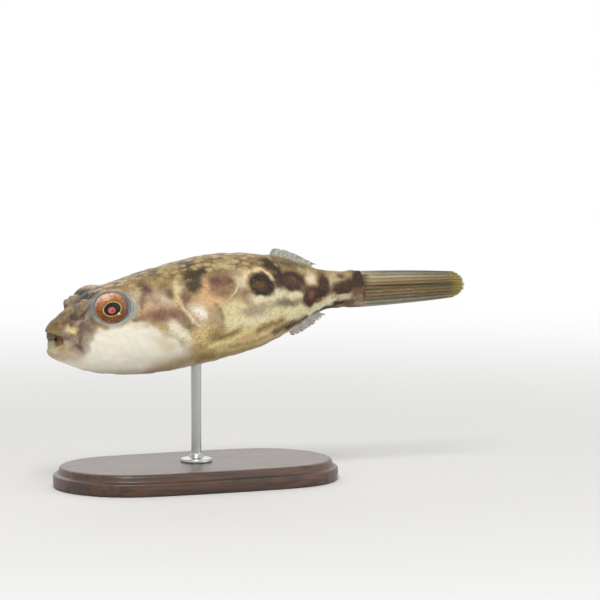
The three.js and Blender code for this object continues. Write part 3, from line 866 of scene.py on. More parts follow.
# %% Shoulder and the pectoral fin's root
SHOULDER = {
    "shoulder blotch": ((40.4, 26.6), (2.7, 3.6), DARK, 0.4, 0.9, -10),
    "its upper arm": ((43.4, 29.0), (2.4, 1.1), (66, 50, 38), 0.6, 1, 20),
    "dark dash on the back": ((40.8, 31.1), (2.4, 0.8), (74, 56, 44), 0.6, 0.9, 14),
    "brown before the fin's root": ((37.6, 22.4), (1.3, 2.2), (134, 102, 84), 0.6),
    "pale column behind the rosy oval": ((55.0, 25.9), (1.9, 3.4), (228, 212, 176), 0.7, 0.9),
    "rosy oval": ((48.9, 25.6), (4.3, 3.4), (146, 112, 88)),
    "its dark upper edge": ((47.6, 26.8), (1.9, 1.1), (104, 78, 64), 0.8, 1, -14),
    "its red-brown foot": ((49.9, 23.9), (1.9, 1.2), (136, 92, 70), 0.8, 0.9),
    "its rear edge": ((51.2, 26.2), (1.2, 1.4), (116, 86, 72), 0.8, 0.8),
    "light bar under the back": ((54.4, 30.6), (7.8, 1.5), (202, 180, 136), 0.6, 0.75, -2),
    "peach band below the oval": ((45.6, 21.0), (4.4, 1.6), (240, 200, 152), 0.7, 1, -10),
    "orange dash": ((43.9, 24.8), (0.9, 2.1), (226, 174, 124), 0.9, 1, -5),
    "white root of the fin": ((41.5, 17.8), (3.1, 1.8), (255, 242, 226), 0.9, 1, -34),
    "cream below the root": ((42.6, 14.6), (2.4, 1.3), (226, 204, 166), 0.9, 0.9, -30),
    "tan oval behind it": ((46.0, 15.9), (2.5, 2.4), (196, 164, 130), 0.6, 0.9),
    "olive line round it": (
        [(46.4, 20.0), (48.0, 18.4), (48.8, 16.0), (48.5, 13.6)], 1.3, (132, 122, 86), 1, 0.8,
    ),
    "cream patch of the flank": ((51.2, 18.8), (2.6, 1.8), (226, 214, 166), 0.7, 0.9),
    "yellow patch below it": ((51.8, 15.0), (2.6, 1.5), (240, 226, 172), 0.7, 0.9),
}

painter.paint("shoulder", SHOULDER)

# %% [markdown]
# Along the lower flank gold and brown bands follow the belly's curve and rise towards the tail.
# They are lines, with the bright gold one laid over the wide pale ones. Two lines are painted
# shade: one along the bottom of the belly before the bands, one above the root of the anal fin.

# %% Lower flank
LOWER_FLANK = {
    "gold behind the belly": ((43.6, 11.2), (5.0, 3.2), (228, 202, 142), 0.6),
    "gold along the flank": ((60.0, 11.6), (8.0, 2.6), (196, 166, 100), 0.7, 0.6, 8),
    "brown patch": ((46.6, 11.4), (2.6, 1.7), (140, 110, 66), 0.9, 0.8, 35),
    "light band along the belly": (
        [(42, 6.4), (48, 6.8), (56, 7.2), (63, 8.2), (70, 10.6)], 3.2, (228, 202, 140), 1, 0.85,
    ),
    "brown band under it": (
        [(43.5, 4.2), (54, 5.2), (62, 6.6), (70, 9.2)], 2.4, (150, 122, 80), 1, 0.7,
    ),
    "brown where the bands begin": ((42.0, 6.4), (3.4, 2.0), (172, 144, 98), 1, 0.55, -30),
    # Painted shade along the belly's bottom edge.
    "painted shade along the belly's bottom": (
        [(29.0, 0.6), (35.0, 1.8), (40.0, 3.8), (46.0, 5.0)], 3.4, (152, 126, 88), 1, 0.6,
    ),
    "bright gold line": (
        [(45.8, 8.0), (48.0, 8.7), (50.4, 9.2), (53.4, 10.2), (56.7, 11.7), (58.4, 12.8)],
        1.2, (252, 232, 164), 0.9, 0.95,
    ),
    "brown streak above it": (
        [(48.2, 10.6), (51.0, 11.4), (53.0, 12.2), (54.8, 13.2)], 1.5, (144, 112, 56), 1, 0.9,
    ),
    "light gold patch": ((56.4, 12.4), (2.2, 1.6), (232, 210, 142), 0.8, 0.8),
    "cream patch": ((58.8, 14.7), (4.2, 1.4), (240, 228, 188), 0.7, 1, -4),
    "brown streak behind it": (
        [(60.6, 12.2), (62.4, 12.8), (65.0, 13.4), (68.4, 14.3)], 1.9, (160, 132, 78), 0.9,
    ),
    "pale gold line": (
        [(55.6, 9.6), (58.6, 10.1), (62.0, 10.7), (65.6, 11.8)], 1.3, (228, 202, 152), 0.9,
    ),
    "dark brown streak": (
        [(66.4, 11.1), (69.4, 12.0), (72.6, 13.0)], 2.2, (104, 80, 46), 0.9, 0.9,
    ),
    "faint brown line": (
        [(51.6, 7.6), (56.0, 8.0), (60.6, 8.8), (64.6, 9.8)], 1.0, (172, 144, 84), 1, 0.7,
    ),
    # Painted shade along the lower edge of the body, above the anal fin's root.
    "painted shade above the anal fin's root": (
        [(71.0, 11.8), (75.4, 13.3), (78.4, 14.7), (81.8, 16.6)], 2.1, (74, 55, 33), 0.9,
    ),
}

painter.paint("lower flank", LOWER_FLANK)

# %% [markdown]
# The rear flank carries the three large dark blotches, the first of them a ringed eye-spot. Each
# is an oval or a few that join, with a tawny or red-brown middle and a fairly sharp edge. The pale
# bars between them are laid first, so that the blotches cut into them.

# %% Rear flank
REAR_FLANK = {
    "brown before the eye-spot": ((56.0, 22.8), (2.1, 1.6), (134, 106, 84), 0.7, 0.9, -10),
    "faint patch below it": ((56.6, 20.0), (1.6, 1.6), (170, 148, 118), 0.8, 0.6),
    "cream dash": ((55.0, 19.2), (2.0, 0.9), (226, 212, 164), 0.8, 1, -20),
    "cream bar under the eye-spot": ((61.6, 21.2), (4.2, 1.2), (236, 228, 190), 0.7, 1, -6),
    "faint brown near the back": ((53.4, 28.9), (2.2, 1.2), (172, 142, 112), 0.7, 0.8, -12),
    "peach spot": ((56.8, 27.8), (1.2, 1.0), (238, 206, 168), 0.8),
    "grey-brown bar": ((59.2, 17.8), (5.2, 1.6), (178, 162, 134), 0.5, 1, 5),
    "grey bar": ((69.6, 19.5), (4.7, 1.5), (134, 126, 106), 0.6, 1, -3),
    "pale green bar": ((70.6, 17.0), (6.6, 1.2), (230, 226, 176), 0.7, 1, -4),
    "cream between the blotches": ((67.0, 22.2), (2.8, 1.5), (230, 224, 188), 0.6, 1, 25),
    "cream under the second blotch": ((72.4, 21.5), (3.0, 1.2), (232, 220, 184), 0.6),
    "brown above the eye-spot": ((63.6, 30.6), (3.0, 1.3), (136, 114, 82), 0.7, 0.8, -14),
    "brown link to the second blotch": ((67.3, 26.0), (2.0, 2.6), (86, 65, 50), 0.5, 1, 10),
    "peach line round the eye-spot": (
        [(56.4, 28.3), (59.4, 29.2), (62.2, 28.9), (64.2, 27.9), (65.3, 26.4)],
        1.0, (242, 212, 164), 0.8,
    ),
    "eye-spot": ((61.5, 25.1), (4.3, 3.1), DARK, 0.22, 1, -18),
    "its lower half": ((61.8, 23.8), (3.6, 1.8), DARK, 0.25, 1, -4),
    "its tawny middle": ((60.9, 25.0), (1.9, 1.2), (98, 72, 36), 0.8, 1, -10),
    "dark bar on the back": ((65.2, 30.4), (3.0, 1.5), (58, 44, 36), 0.5, 1, -24),
    "dark link down from it": ((67.4, 27.9), (1.9, 2.6), (58, 42, 33), 0.5, 1, 24),
    "second blotch": ((72.4, 25.4), (5.2, 2.9), (56, 38, 31), 0.28, 1, -14),
    "its red-brown middle": ((72.2, 25.4), (2.5, 1.3), (100, 66, 56), 0.9, 0.9, -14),
    "white fleck": ((67.5, 29.9), (0.6, 0.25), (214, 198, 178), 0.9, 0.8, -20),
    "shade under the dorsal fin": (
        [(67.8, 31.2), (71.0, 30.5), (74.4, 29.4), (77.0, 28.4)], 1.9, (84, 74, 54), 1, 0.8,
    ),
    "pale dash behind the fin": (
        [(75.4, 28.4), (77.8, 27.7), (80.0, 27.0)], 1.3, (206, 190, 152), 1, 0.6,
    ),
    "pink spot": ((78.7, 25.4), (1.7, 1.7), (238, 212, 186), 0.6, 1, 6),
    "third blotch": ((78.4, 21.1), (3.1, 2.6), (64, 45, 33), 0.36),
    "its rear arm": ((82.9, 24.0), (1.9, 3.1), (68, 50, 38), 0.45, 1, 4),
    "join of the two": ((81.4, 21.6), (2.6, 2.0), (64, 46, 34), 0.4, 1, 20),
    "its lower lobe": ((78.1, 19.8), (3.3, 1.9), (66, 47, 35), 0.4, 1, 8),
    "brown link before it": ((75.8, 23.3), (1.1, 1.3), BROWN, 0.8),
    "tawny middle of the third blotch": ((78.4, 21.2), (1.0, 1.0), (126, 88, 60), 1, 0.9),
}

painter.paint("rear flank", REAR_FLANK)

# %% [markdown]
# The tail stalk is dark along its middle and at its end, with a pale line below the dark, and its
# lower edge has a painted shade. Where the rays of the tail fin come out of it, the flesh thins out
# over them.

# %% Tail stalk
STALK = {
    "pale slant under the third blotch": (
        [(79.0, 15.8), (82.6, 17.3), (85.6, 19.4)], 2.4, (240, 232, 202), 0.6,
    ),
    "pale patch behind it": ((86.2, 24.6), (1.2, 2.4), (196, 178, 144), 0.6, 0.9, -24),
    "tan on top": ((88.0, 25.9), (3.4, 1.2), (192, 174, 140), 0.6, 1, -4),
    "brown spot on top": ((88.8, 25.8), (1.6, 0.8), (112, 90, 66), 0.8, 1, -10),
    "dark blotch of the stalk": ((90.2, 22.6), (5.8, 2.1), (66, 48, 36), 0.34, 1, 9),
    "dark end of the stalk": ((94.8, 24.0), (2.5, 3.8), (60, 44, 34), 0.3, 1, -6),
    # Painted shade along the stalk's lower edge.
    "painted shade under the stalk": (
        [(80.5, 15.2), (85.0, 16.8), (90.0, 16.8), (95.0, 16.8)], 1.5, (104, 78, 60), 0.9, 0.85,
    ),
    "dark line along it": (
        [(83.4, 16.4), (85.6, 17.2), (87.4, 18.1), (89.2, 18.4), (92.2, 18.0)], 1.6, (62, 46, 36), 0.8,
    ),
    "brown end of the underside": ([(90.8, 18.4), (95.8, 18.5)], 2.2, (108, 84, 66), 1, 0.9),
    "pale line under the blotch": (
        [(85.4, 20.1), (88.6, 19.8), (92.4, 20.4)], 1.1, (204, 186, 156), 0.8,
    ),
    "brown where the rays come out": ([(93.2, 20.6), (99.0, 20.6)], 2.8, (118, 88, 62), 0.8),
}
painter.paint("tail stalk", STALK)
at_fin = ease(px - 0.12 * (25 - pz), 95.5, 96.1)
painter.lay(at_fin * ease(-pz, -18.4, -17.4) * 0.8, (124, 116, 98))
painter.lay(at_fin * ease(-pz, -22.2, -21.2) * ease(pz, 17.8, 18.6) * 0.7, (92, 70, 46))

# %% [markdown]
# The crown between the eyes is darkest of all. The nostril flaps are pink, their front lobes
# bluish. Both lie over the top of the head, so they are laid by the distance from the middle
# plane or by how far the skin was swollen, and not by a place on the flank.

# %% Crown and nostril flaps
sideways = np.abs(skin_grid[..., 1])
crown = mound(px, sideways, (12.2, 0.0), (4.0, 6.6)) * ease(pz, 21.2, 22.4)
painter.lay(1.7 * crown, (40, 30, 20))
painter.lay(ease(flap, 0.03, 0.12) * ease(-flap, -0.45, -0.15) * 0.6, (96, 80, 64))
lobes = near_flap * ease(pz - back_at(px), -3.6, -2.4)
painter.lay(0.9 * lobes, (190, 168, 142))
painter.lay(0.7 * lobes * ease(-px, -8.6, -7.2), (134, 142, 134))
painter.lay(0.45 * lobes * (0.5 + 0.5 * ripple(skin_grid, 1.0, 31)), (120, 104, 84))
bridge = (1 - ease(sideways, 2.6, 4.0)) * ease(pz, 19.6, 21.0) * (1 - ease(px, 9.6, 11.2))
painter.lay(0.6 * bridge, (76, 62, 42))
print("dark crown over", round(float((crown > 0.3).mean()), 3), "of the skin")

# %% [markdown]
# Clear, bluish skin runs over the rim of each eye in a wide ring, pinkish below and brown above,
# with a fine light line near its outer edge. The ring was measured when the eye was seated, so
# each tone here is a soft step in that measure. A tan brow stands over the eye, and the lining of
# the mouth is a plain brown.

# %% Mouth lining, eye rings and brows
painter.lay(inside, (124, 92, 60))
glassy = 1 - ease(eye_ring, 0.84, 1.1)
painter.lay(glassy * 0.92, (160, 168, 162))
painter.lay(glassy * ease(-eye_rise, 1.0, 4.6) * 0.8, (196, 178, 172))
painter.lay(glassy * ease(eye_rise, 3.0, 4.6) * 0.75, (118, 106, 80))
painter.lay(glassy * (0.5 + 0.5 * ripple(skin_grid, 1.3, 33)) * 0.35, (122, 126, 120))
light_line = 1 - ease(np.abs(eye_ring - 0.93), 0.02, 0.16)
painter.lay(light_line * (0.2 + 0.2 * ripple(skin_grid, 2.4, 35)), (196, 202, 198))
painter.lay(glassy * ease(-px, -14.5, -11.5) * 0.5, (104, 104, 92))
painter.lay((1 - ease(np.abs(from_eye - 5.5), 0.1, 0.5)) * glassy * 0.15, (110, 118, 116))
painter.lay((1 - ease(from_eye, 4.7, 5.1)) * 0.5, (84, 78, 76))
brow = ease(pz, 23.9, 24.7) * ease(from_eye, 4.9, 5.3) * (from_eye < 9) * (1 - ease(px, 17, 20))
painter.lay(0.8 * brow, (184, 146, 112))
print("skin painted, mean colour", painter.colour.reshape(-1, 3).mean(axis=0).round(3))

# %% [markdown]
# Besides its colour, each point of the skin keeps shares that the material reads: how much it
# belongs to the spotted back, to the zone of fine dots behind the gills, to the rear flank with
# its fine upright hatching, to the blotchy snout, to the plain white belly, and to the glassy skin
# over the eyes.

# %% Shares for the skin's material
dots = mound(px, pz, (45.4, 11.8), (7.0, 3.6), 15)
dots += 0.8 * mound(px, pz, (39.0, 14.4), (3.6, 1.7), -46)
hatch = ease(px, 50, 66) * ease(-px, -97, -90) * (1 - over_back)
clear_of_eye = ease(eye_ring, 0.95, 1.2)
glass = (1 - ease(eye_ring, 0.9, 1.1)) * (1 - ease(eye_rise, 1.5, 4.0)) * (eye_ring < 2)
lower_start = 2.2 - 2.0 * ease(px, 28, 38)
spotted = ease(pz - back_at(px) - lower_start, -6.0, -2.8) * outside * clear_of_eye * ease(px, 11, 16)
skin_shell = Shell(
    skin_grid,
    colour=painter.colour,
    back=spotted * (1 - 0.6 * ease(px, 58, 64) - 0.4 * ease(px, 66, 72)),
    dots=np.clip(dots, 0, 1) * outside,
    hatch=hatch,
    snout=ease(-px, -19, -12) * outside * clear_of_eye * (1 - white),
    plain=np.clip(white + inside, 0, 1),
    glass=glass,
)
skin = make_mesh("skin", [skin_shell], fish_origin)

# %% [markdown]
# ## The skin's material
#
# Fish skin is soft and slightly see-through under a thin film. The painted colour carries the
# large markings, and things too fine to paint point by point go over it as patterns worked out by
# the material itself. The back comes first: pale oval spots with brown between them. They are
# scattered cells, drawn out along the body and shaken by noise so that no two are alike.

# %% Skin: spots of the back
finish = Finish("wet mottled skin", {
    "Subsurface Weight": 0.08,
    "Subsurface Scale": 0.001,
    "Coat Roughness": 0.2,
    "IOR": 1.4,
    "Specular IOR Level": 0.25,
})
finish.colour = finish.fact("colour", "Color")
back = finish.fact("back")
drawn_out = {"Vector": finish.place, "Scale": (0.66, 1.0, 1.0)}
lean = finish.node("ShaderNodeMapping", None, drawn_out, out=0)
shake = finish.node("ShaderNodeTexNoise", None, {"Vector": finish.place, "Scale": 800.0}, out="Color")
sway = {0: shake, 1: (0.0007, 0.0007, 0.0007), 2: lean}
swayed = finish.node("ShaderNodeVectorMath", {"operation": "MULTIPLY_ADD"}, sway, out=0)
egg = finish.cells(1.85, swayed) + (finish.noise(0.7, 3.0) - 0.5) * 0.45
patchy = finish.noise(5.0, 2.0)
between_eggs = egg.step(0.40, 0.66) * back * patchy.step(0.35, 0.6)
finish.lay(egg.step(0.48, 0.22) * back * 0.68, (204, 186, 132))
finish.lay(between_eggs * 0.7, (78, 62, 38))
blots = finish.noise(3.2, 3.0, 0.6, 0.8).step(0.58, 0.66) * back
finish.lay(blots * 0.45, (66, 50, 34))
print("the skin's material has", len(finish.tree.nodes), "nodes so far")

# %% [markdown]
# Behind the gills the skin is sprinkled with tiny brown dots, which are small cells again. On the
# rear flank the muscle shows through as upright hatching: a sine wave along the body, bent by
# noise, and let through in patches only.

# %% Skin: dots and hatching
dot = finish.cells(0.46).step(0.40, 0.22) * finish.fact("dots")
finish.lay(dot * 0.75, (76, 54, 32))
HATCH_GAP_MM = 0.72
TURN_PER_MM = 6283.2  # radians for each metre that make one full turn in a millimetre
split = finish.node("ShaderNodeSeparateXYZ", None, {0: finish.place})
across = Signal(finish, split.outputs["X"])
wobble = finish.noise(1.6, 3.0)
comb = (across * (TURN_PER_MM / HATCH_GAP_MM) + wobble * 9.0).sine()
combed = comb.step(0.1, 1.0) * finish.fact("hatch") * finish.noise(2.6, 1.0).step(0.45, 0.65)
finish.lay(combed * 0.32, (64, 50, 34))
print("the skin's material has", len(finish.tree.nodes), "nodes so far")

# %% [markdown]
# Living colour is never flat. The snout is clouded light and dark, the whole skin but the white
# belly drifts between a greenish and a reddish tint, and a fine brown mottle lies over it, all but
# on the clear skin of the eyes.

# %% Skin: clouds and mottle
mottle = finish.noise(0.8, 4.0, 0.65)
snout = finish.fact("snout")
flush = finish.noise(2.0, 2.0, 0.5, 0.5)
finish.lay(flush.step(0.5, 0.66) * snout * 0.28, (196, 170, 144))
finish.lay(flush.step(0.47, 0.34) * snout * 0.32, (76, 64, 46))
busy = 1.0 - finish.fact("plain") * 0.85
tint = finish.noise(3.6, 2.0, 0.5, 0.4)
finish.lay(tint.step(0.5, 0.68) * busy * 0.35, (226, 236, 206), "MULTIPLY")
finish.lay(tint.step(0.5, 0.34) * busy * 0.35, (244, 218, 206), "MULTIPLY")
dry = 1.0 - finish.fact("glass")
finish.lay(mottle.step(0.46, 0.70) * dry * busy * 0.32, (60, 44, 30))
finish.lay(mottle.step(0.5, 0.25) * busy * 0.06, (255, 244, 214))
print("the skin's material has", len(finish.tree.nodes), "nodes so far")

# %% [markdown]
# A puffer feels rough because of small prickles in its skin. They are a bump of small cells, as
# their height is too slight to be worth modelling. The film of water is a coat, thin over the body
# and thick over the clear skin of the eyes, which is smooth.

# %% Skin: prickles and wetness
prickles = finish.cells(0.55).step(0.45, 0.0)
height = prickles * 0.6 + finish.noise(0.4, 2.0) * 0.5 + comb * finish.fact("hatch") * 0.25
normal = finish.bump(height * dry, 0.3, 0.05)
rough = (0.42 + finish.noise(1.4, 3.0) * 0.2) * (0.4 + dry * 0.6)
wet_coat = 0.5 - dry * 0.44
skin.data.materials.append(finish.give(Roughness=rough, Coat_Weight=wet_coat, Normal=normal))
print("the skin's material has", len(finish.tree.nodes), "nodes")
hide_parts("head", "lower_jaw", "trunk", "tail_stalk", "nostril_left", "nostril_right")
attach(skin, "root")

# %% [markdown]
# ## Eyes
#
# The eyeball is a low dome in front and a rounder back that stays hidden. Its shape is a profile
# turned round the eye's axis. Two facts are kept at each point, the distances towards the tail
# and up from the middle of the eye, so that the material can draw the iris in those.

# %% Eyeballs
#    step, from the axis, height over the eye's centre
EYE_PROFILE = [
    (0.0, 0.02, 4.15),
    (1.0, 1.2, 4.05),
    (2.0, 2.4, 3.75),
    (3.0, 3.5, 3.25),
    (4.0, 4.4, 2.65),
    (5.0, 4.7, 1.9),
    (6.0, 4.5, 0.6),
    (7.0, 3.9, -1.0),
    (8.0, 2.7, -2.3),
    (9.0, 1.2, -3.0),
    (9.6, 0.02, -3.2),
]


def eyeball(side):
    """The profile turned round the eye's axis and drawn out tailward; its facts are the distances
    tailward and upward, before that drawing out."""
    centre, out, tailward, up = eye_axes(side)
    radius, height = curve_through(EYE_PROFILE, np.linspace(0, 9.6, 110))
    turn = np.linspace(0, 2 * np.pi, 128, endpoint=False)
    right = radius[:, None] * np.cos(turn)
    rise = radius[:, None] * np.sin(turn)
    grid = centre + height[:, None, None] * out
    grid = grid + LONGER * right[..., None] * tailward + rise[..., None] * up
    return Shell(grid, tailward=right, upward=rise)


# %% [markdown]
# The iris is amber below, orange and pink above, with fine rays and pale flecks. Noise makes both:
# the rays read it in directions round the pupil, so that it is drawn out from the middle to the
# rim, and the flecks read it flat.

# %% Eye: iris
finish = Finish("eye", {
    "Coat Weight": 0.25,
    "Coat Roughness": 0.05,
    "IOR": 1.376,
    "Specular IOR Level": 0.3,
})
u, v = finish.fact("tailward"), finish.fact("upward")


def distance_from(right, up):
    """How far each point of the eye's face lies from the point (right, up), in millimetres."""
    across, above = u - right, v - up
    return (across * across + above * above).root()


radius = (u * u + v * v).root()
round_pupil = {0: u / radius * 0.004, 1: v / radius * 0.004, 2: radius * 0.0004}
polar = finish.node("ShaderNodeCombineXYZ", None, round_pupil, out=0)
rays = finish.noise(0.6, 5.0, 0.7, 0.3, polar)
flat = finish.node("ShaderNodeCombineXYZ", None, {0: u * 0.001, 1: v * 0.001, 2: 0.0}, out=0)
fleck = finish.noise(0.55, 4.0, 0.65, 0.5, flat)
cloud = finish.noise(1.3, 2.0, 0.5, 0.6, flat)
above = (v + cloud * 2.4 - u * 0.2).step(0.6, 4.4)
finish.colour = finish.mix(above, tone(128, 72, 2), tone(200, 132, 86))
finish.lay(rays.step(0.48, 0.62) * 0.75, (72, 34, 2))
finish.lay(fleck.step(0.5, 0.64) * (0.2 + v.step(-2.5, 1.5) * 0.22), (236, 166, 84))
finish.lay((radius + cloud).step(3.5, 2.3) * 0.6, (132, 84, 32))
upper_rim = (radius + v * 0.3).step(4.0, 5.0)
finish.lay(upper_rim * (0.3 + fleck.step(0.44, 0.6) * 0.7), (238, 206, 200))
print("the eye's material has", len(finish.tree.nodes), "nodes so far")

# %% [markdown]
# The pupil is a leaning oval with a thin gold line round it. The red light in it is a painted
# reflection from the back of the eye, and the small bright point below it is a painted highlight.
# Round the outside runs a dark line, and beyond it the clear skin's grey.

# %% Eye: pupil, shine and outer line
pu, pv = (u + 0.16) / 2.1, (v + 0.42) / 1.86
leaning = pv - pu * 0.12
from_pupil = (pu * pu + leaning * leaning).root()
gold_edge = from_pupil + (cloud - 0.5) * 0.16
finish.lay(gold_edge.step(1.3, 1.12) * 0.8, (112, 74, 30))
finish.lay(gold_edge.step(1.16, 1.1) * 0.9, (214, 184, 118))
finish.lay(from_pupil.step(1.07, 0.97), (9, 13, 9))
finish.lay(from_pupil.step(0.95, 0.7) * (u + v).step(0.2, 1.4) * 0.6, (34, 58, 40))
# Painted reflection from the back of the eye: pink, with a red middle.
from_shine = distance_from(-0.36, -0.78) + (fleck - 0.5) * 0.5
finish.lay(from_shine.step(1.1, 0.7) * 0.9, (214, 106, 98))
red_heart = distance_from(-0.14, -0.92) + (fleck - 0.5) * 0.4
finish.lay(red_heart.step(0.5, 0.2) * 0.9, (168, 22, 20))
# Painted highlight: a small bright point below the pupil.
finish.lay(distance_from(1.5, -1.75).step(0.5, 0.1) * 0.9, (255, 236, 190))
outer = radius + (cloud - 0.5) * 0.5
finish.lay((outer + u * 0.17).step(3.65, 4.4) * (0.3 + u.step(-1.0, 4.0) * 0.6), (84, 72, 72))
finish.lay(outer.step(4.15, 4.4) * 0.9, (146, 154, 152))
eye_finish = finish.give(Roughness=0.22 + rays * 0.1)
for word, side in (("left", -1), ("right", 1)):
    eye = make_mesh(f"eyeball_{word}", [eyeball(side)], fish_origin)
    eye.data.materials.append(eye_finish)
    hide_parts(f"eye_{word}")
    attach(eye, "root")

# %% [markdown]
# ## Fins
#
# A fin is a fan of bony rays with clear skin between them, and each ray splits into finer
# branches towards the edge. Rays could be tubes laid on a sheet, but then sheet and tubes would
# show as two things. Here a fin is a sheet with two faces. Across it runs the share from the first
# ray to the last, and along it the share from root to tip. The rays are ridges in its thickness,
# and the edge reaches further at the rays than between them.

# %% A fin from curves
def ray_pattern(across, along, rays):
    """1 on a ray and 0 between rays. Each ray forks once and then again on its way to the edge."""
    place = across * (rays - 1)
    width = 0.20 - 0.10 * along
    first_fork = 0.186 * ease(along, 0.3, 1.0)
    second_fork = 0.09 * ease(along, 0.62, 1.0)
    best = np.zeros(np.broadcast(across, along).shape)
    for first in (-1, 1):
        for second in (-1, 1):
            part = first * first_fork + second * second_fork
            away = place - part - np.round(place - part)
            best = np.maximum(best, np.exp(-((away / width) ** 2)))
    return best


def fin_shell(curves, rays, across, steps, thick, notch, wave, pleat=0.0, stray=0.0):
    """A sheet of across by steps points. Each ray is a curve from root by bend to tip, which curves
    gives for the shares across. thick is the membrane's thickness and the rays' at root and tip.
    notch is how far the edge draws back between rays, wave bends the sheet, pleat folds it at the
    rays, and stray moves the rays off their even spacing, as a share of it."""
    share = np.linspace(0, 1, across)[None, :]
    along = np.linspace(0, 1, steps)[:, None]
    walk = np.stack([share[0] * 40, 0 * share[0], 0 * share[0]], -1)
    uneven = 0.5 + 0.5 * ripple(walk, 3.0, 21)
    placed = share + stray / rays * ripple(walk, 5.0, 22)
    ragged = ray_pattern(placed, np.ones((1, 1)), rays)
    length = 1 - notch * (1 - ragged) * (0.45 + 0.75 * uneven) - 0.5 * notch * uneven[::-1]
    t = (along * length)[..., None]
    start, middle, end = (part[None] for part in curves(share[0]))
    sheet = (1 - t) ** 2 * start + 2 * t * (1 - t) * middle + t**2 * end
    flow = np.gradient(sheet, axis=0)
    over = np.gradient(sheet, axis=1)
    normal = np.cross(over, flow)
    normal /= np.maximum(np.linalg.norm(normal, axis=2), 1e-9)[..., None]
    ray = ray_pattern(placed, along, rays)
    folds = pleat * np.cos(share * (rays - 1) * 2 * np.pi) * ease(along, 0.0, 0.15)
    sway = wave * np.sin(share * 7 + along * 3.5) * along
    sheet = sheet + normal * (folds + sway)[..., None]
    membrane, at_root, at_tip = thick
    half = 0.5 * (membrane + ray * (at_root + (at_tip - at_root) * along - membrane))
    from_side = np.minimum(1, np.minimum(share, 1 - share) * across / 3)
    from_edge = np.minimum(1, (1 - along) * steps / 3)
    half = half * (0.25 + 0.75 * from_side * from_edge)
    near, far = sheet + normal * half[..., None], sheet - normal * half[..., None]
    both = np.concatenate([near, far[:, ::-1]], axis=1)
    full = np.ones(ray.shape)
    facts = {"ray": ray, "along": full * along * length, "share": full * share}
    for name, values in facts.items():
        facts[name] = np.concatenate([values, values[:, ::-1]], axis=1)
    return fin_close(both, facts)


def fin_close(grid, facts):
    """A two-faced sheet as a tube, its two ends sewn shut by the middle line between its faces."""
    columns = grid.shape[1]
    opposite = columns - 1 - np.arange(columns)
    middle = 0.5 * (grid + grid[:, opposite])
    ends = [middle[:1], grid, middle[-1:]]
    wide = {name: np.concatenate([values[:1], values, values[-1:]]) for name, values in facts.items()}
    return Shell(np.concatenate(ends), closed_ends=False, **wide)


def points_of(x, y, z):
    """Three arrays or numbers as one array of points."""
    x, y, z = np.broadcast_arrays(x, y, z)
    return np.stack([x, y, z], -1).astype(float)


def between(start, end, share):
    return start + (end - start) * share


half_way = ray_pattern(np.linspace(0, 1, 999), 0.5, 14)
print("half way out, rays take up", round(float(half_way.mean()), 2), "of a fin")

# %% [markdown]
# The tail fin is closed like a fan, so its rays run side by side in a long blade, pleated where
# they fold together. The dorsal and anal fins beat together and are both thrown over to the
# right; one function gives the curves of both, since they differ only in the edge that they stand
# on. The pectoral fins fan back over the flanks.

# %% Curves of the five fins
def tail_curves(s):
    """Root, bend and tip of the tail fin's rays, at the shares s from its top to its bottom."""
    start = stalk_end - 0.4
    back_edge = tail_tip + 0.2 - 3.4 * np.abs(2 * s - 1) ** 3.0
    root = points_of(start, 0, between(26.9, 16.3, s))
    bend = points_of(start + 17, 0, between(26.6, 16.8, s) + 0.1)
    return root, bend, points_of(back_edge, 0, between(25.7, 18.0, s))


def midline_curves(edge_at, way, roots, tips, high, thrown, bent, s):
    """Rays that stand on the back (way 1) or hang from the belly (way -1). They start within roots
    and end within tips behind the snout, reach high off the edge and thrown to the right, and
    have gone bent of their height by the bend."""
    x, tip_x = between(*roots, s), between(*tips, s)
    root = points_of(x, 0, edge_at(x) + way * 0.1)
    bend_z = edge_at(x) + way * (0.2 + bent * high)
    bend = points_of(between(x, tip_x, 0.3), 0.2 * thrown, bend_z)
    return root, bend, points_of(tip_x, thrown, edge_at(tip_x) + way * high)


def dorsal_curves(s):
    lift = between(3.6, 1.3, s) * (1 - 0.4 * (1 - s) ** 8)
    return midline_curves(back_at, 1, (67.4, 80.4), (70.0, 82.8), lift, between(2.4, 1.0, s), 0.8, s)


def anal_curves(s):
    drop = 2.6 + 5.4 * s * (1 - s) - 1.2 * s**6
    return midline_curves(belly_at, -1, (73.6, 82.8), (75.4, 85.6), drop, between(1.6, 1.0, s), 0.6, s)


def pectoral_curves(side, s):
    """Rays that fan back over the flank from a slanting root, side being -1 for the left."""
    fan = np.radians(18 + 6 * s + 18 * s**4)
    long = 16.6 * (1 - 0.67 * s**1.45) * (1 - 0.06 * (1 - s) ** 6)
    root_x, root_z = between(39.0, 42.8, s), between(22.2, 15.6, s)

    def out(share, y):
        reach = share * long
        return points_of(root_x + reach * np.cos(fan), side * y, root_z + reach * np.sin(fan))

    return out(0.0, 12.1), out(0.45, between(13.2, 13.7, s)), out(1.0, between(11.7, 13.3, s))


print("the longest pectoral ray ends at", pectoral_curves(-1, np.zeros(1))[2][0].round(1))

# %% [markdown]
# Fin skin is nearly clear and its rays are horn-coloured, so one recipe makes the finish of every
# small fin: the ray fact sets both the colour and how much hides what is behind. The pectoral
# fins are almost glass, with a cream hem. The dorsal and anal fins are thicker and grey-green.

# %% Clear fins
def fin_finish(name, ray_tone, skin_tone, hem_tone, rays_hide, skin_hides, hem_hides):
    """Tones of the rays, the skin between them and the hem, and how much each of them hides."""
    finish = Finish(name, {"Coat Weight": 0.25, "Coat Roughness": 0.2, "IOR": 1.38})
    ray, along = finish.fact("ray"), finish.fact("along")
    streak = finish.noise(0.6, 4.0, 0.6)
    finish.colour = finish.mix(ray * (0.6 + streak * 0.5), tone(*skin_tone), tone(*ray_tone))
    finish.lay(streak.step(0.48, 0.68) * 0.3, (255, 250, 236))
    hem = along.step(0.88, 0.98)
    finish.lay(hem * 0.8, hem_tone)
    alpha = ray * (rays_hide - skin_hides) + skin_hides + streak * 0.12 + hem * hem_hides
    return finish.give(Alpha=alpha, Roughness=0.35 + ray * 0.1)


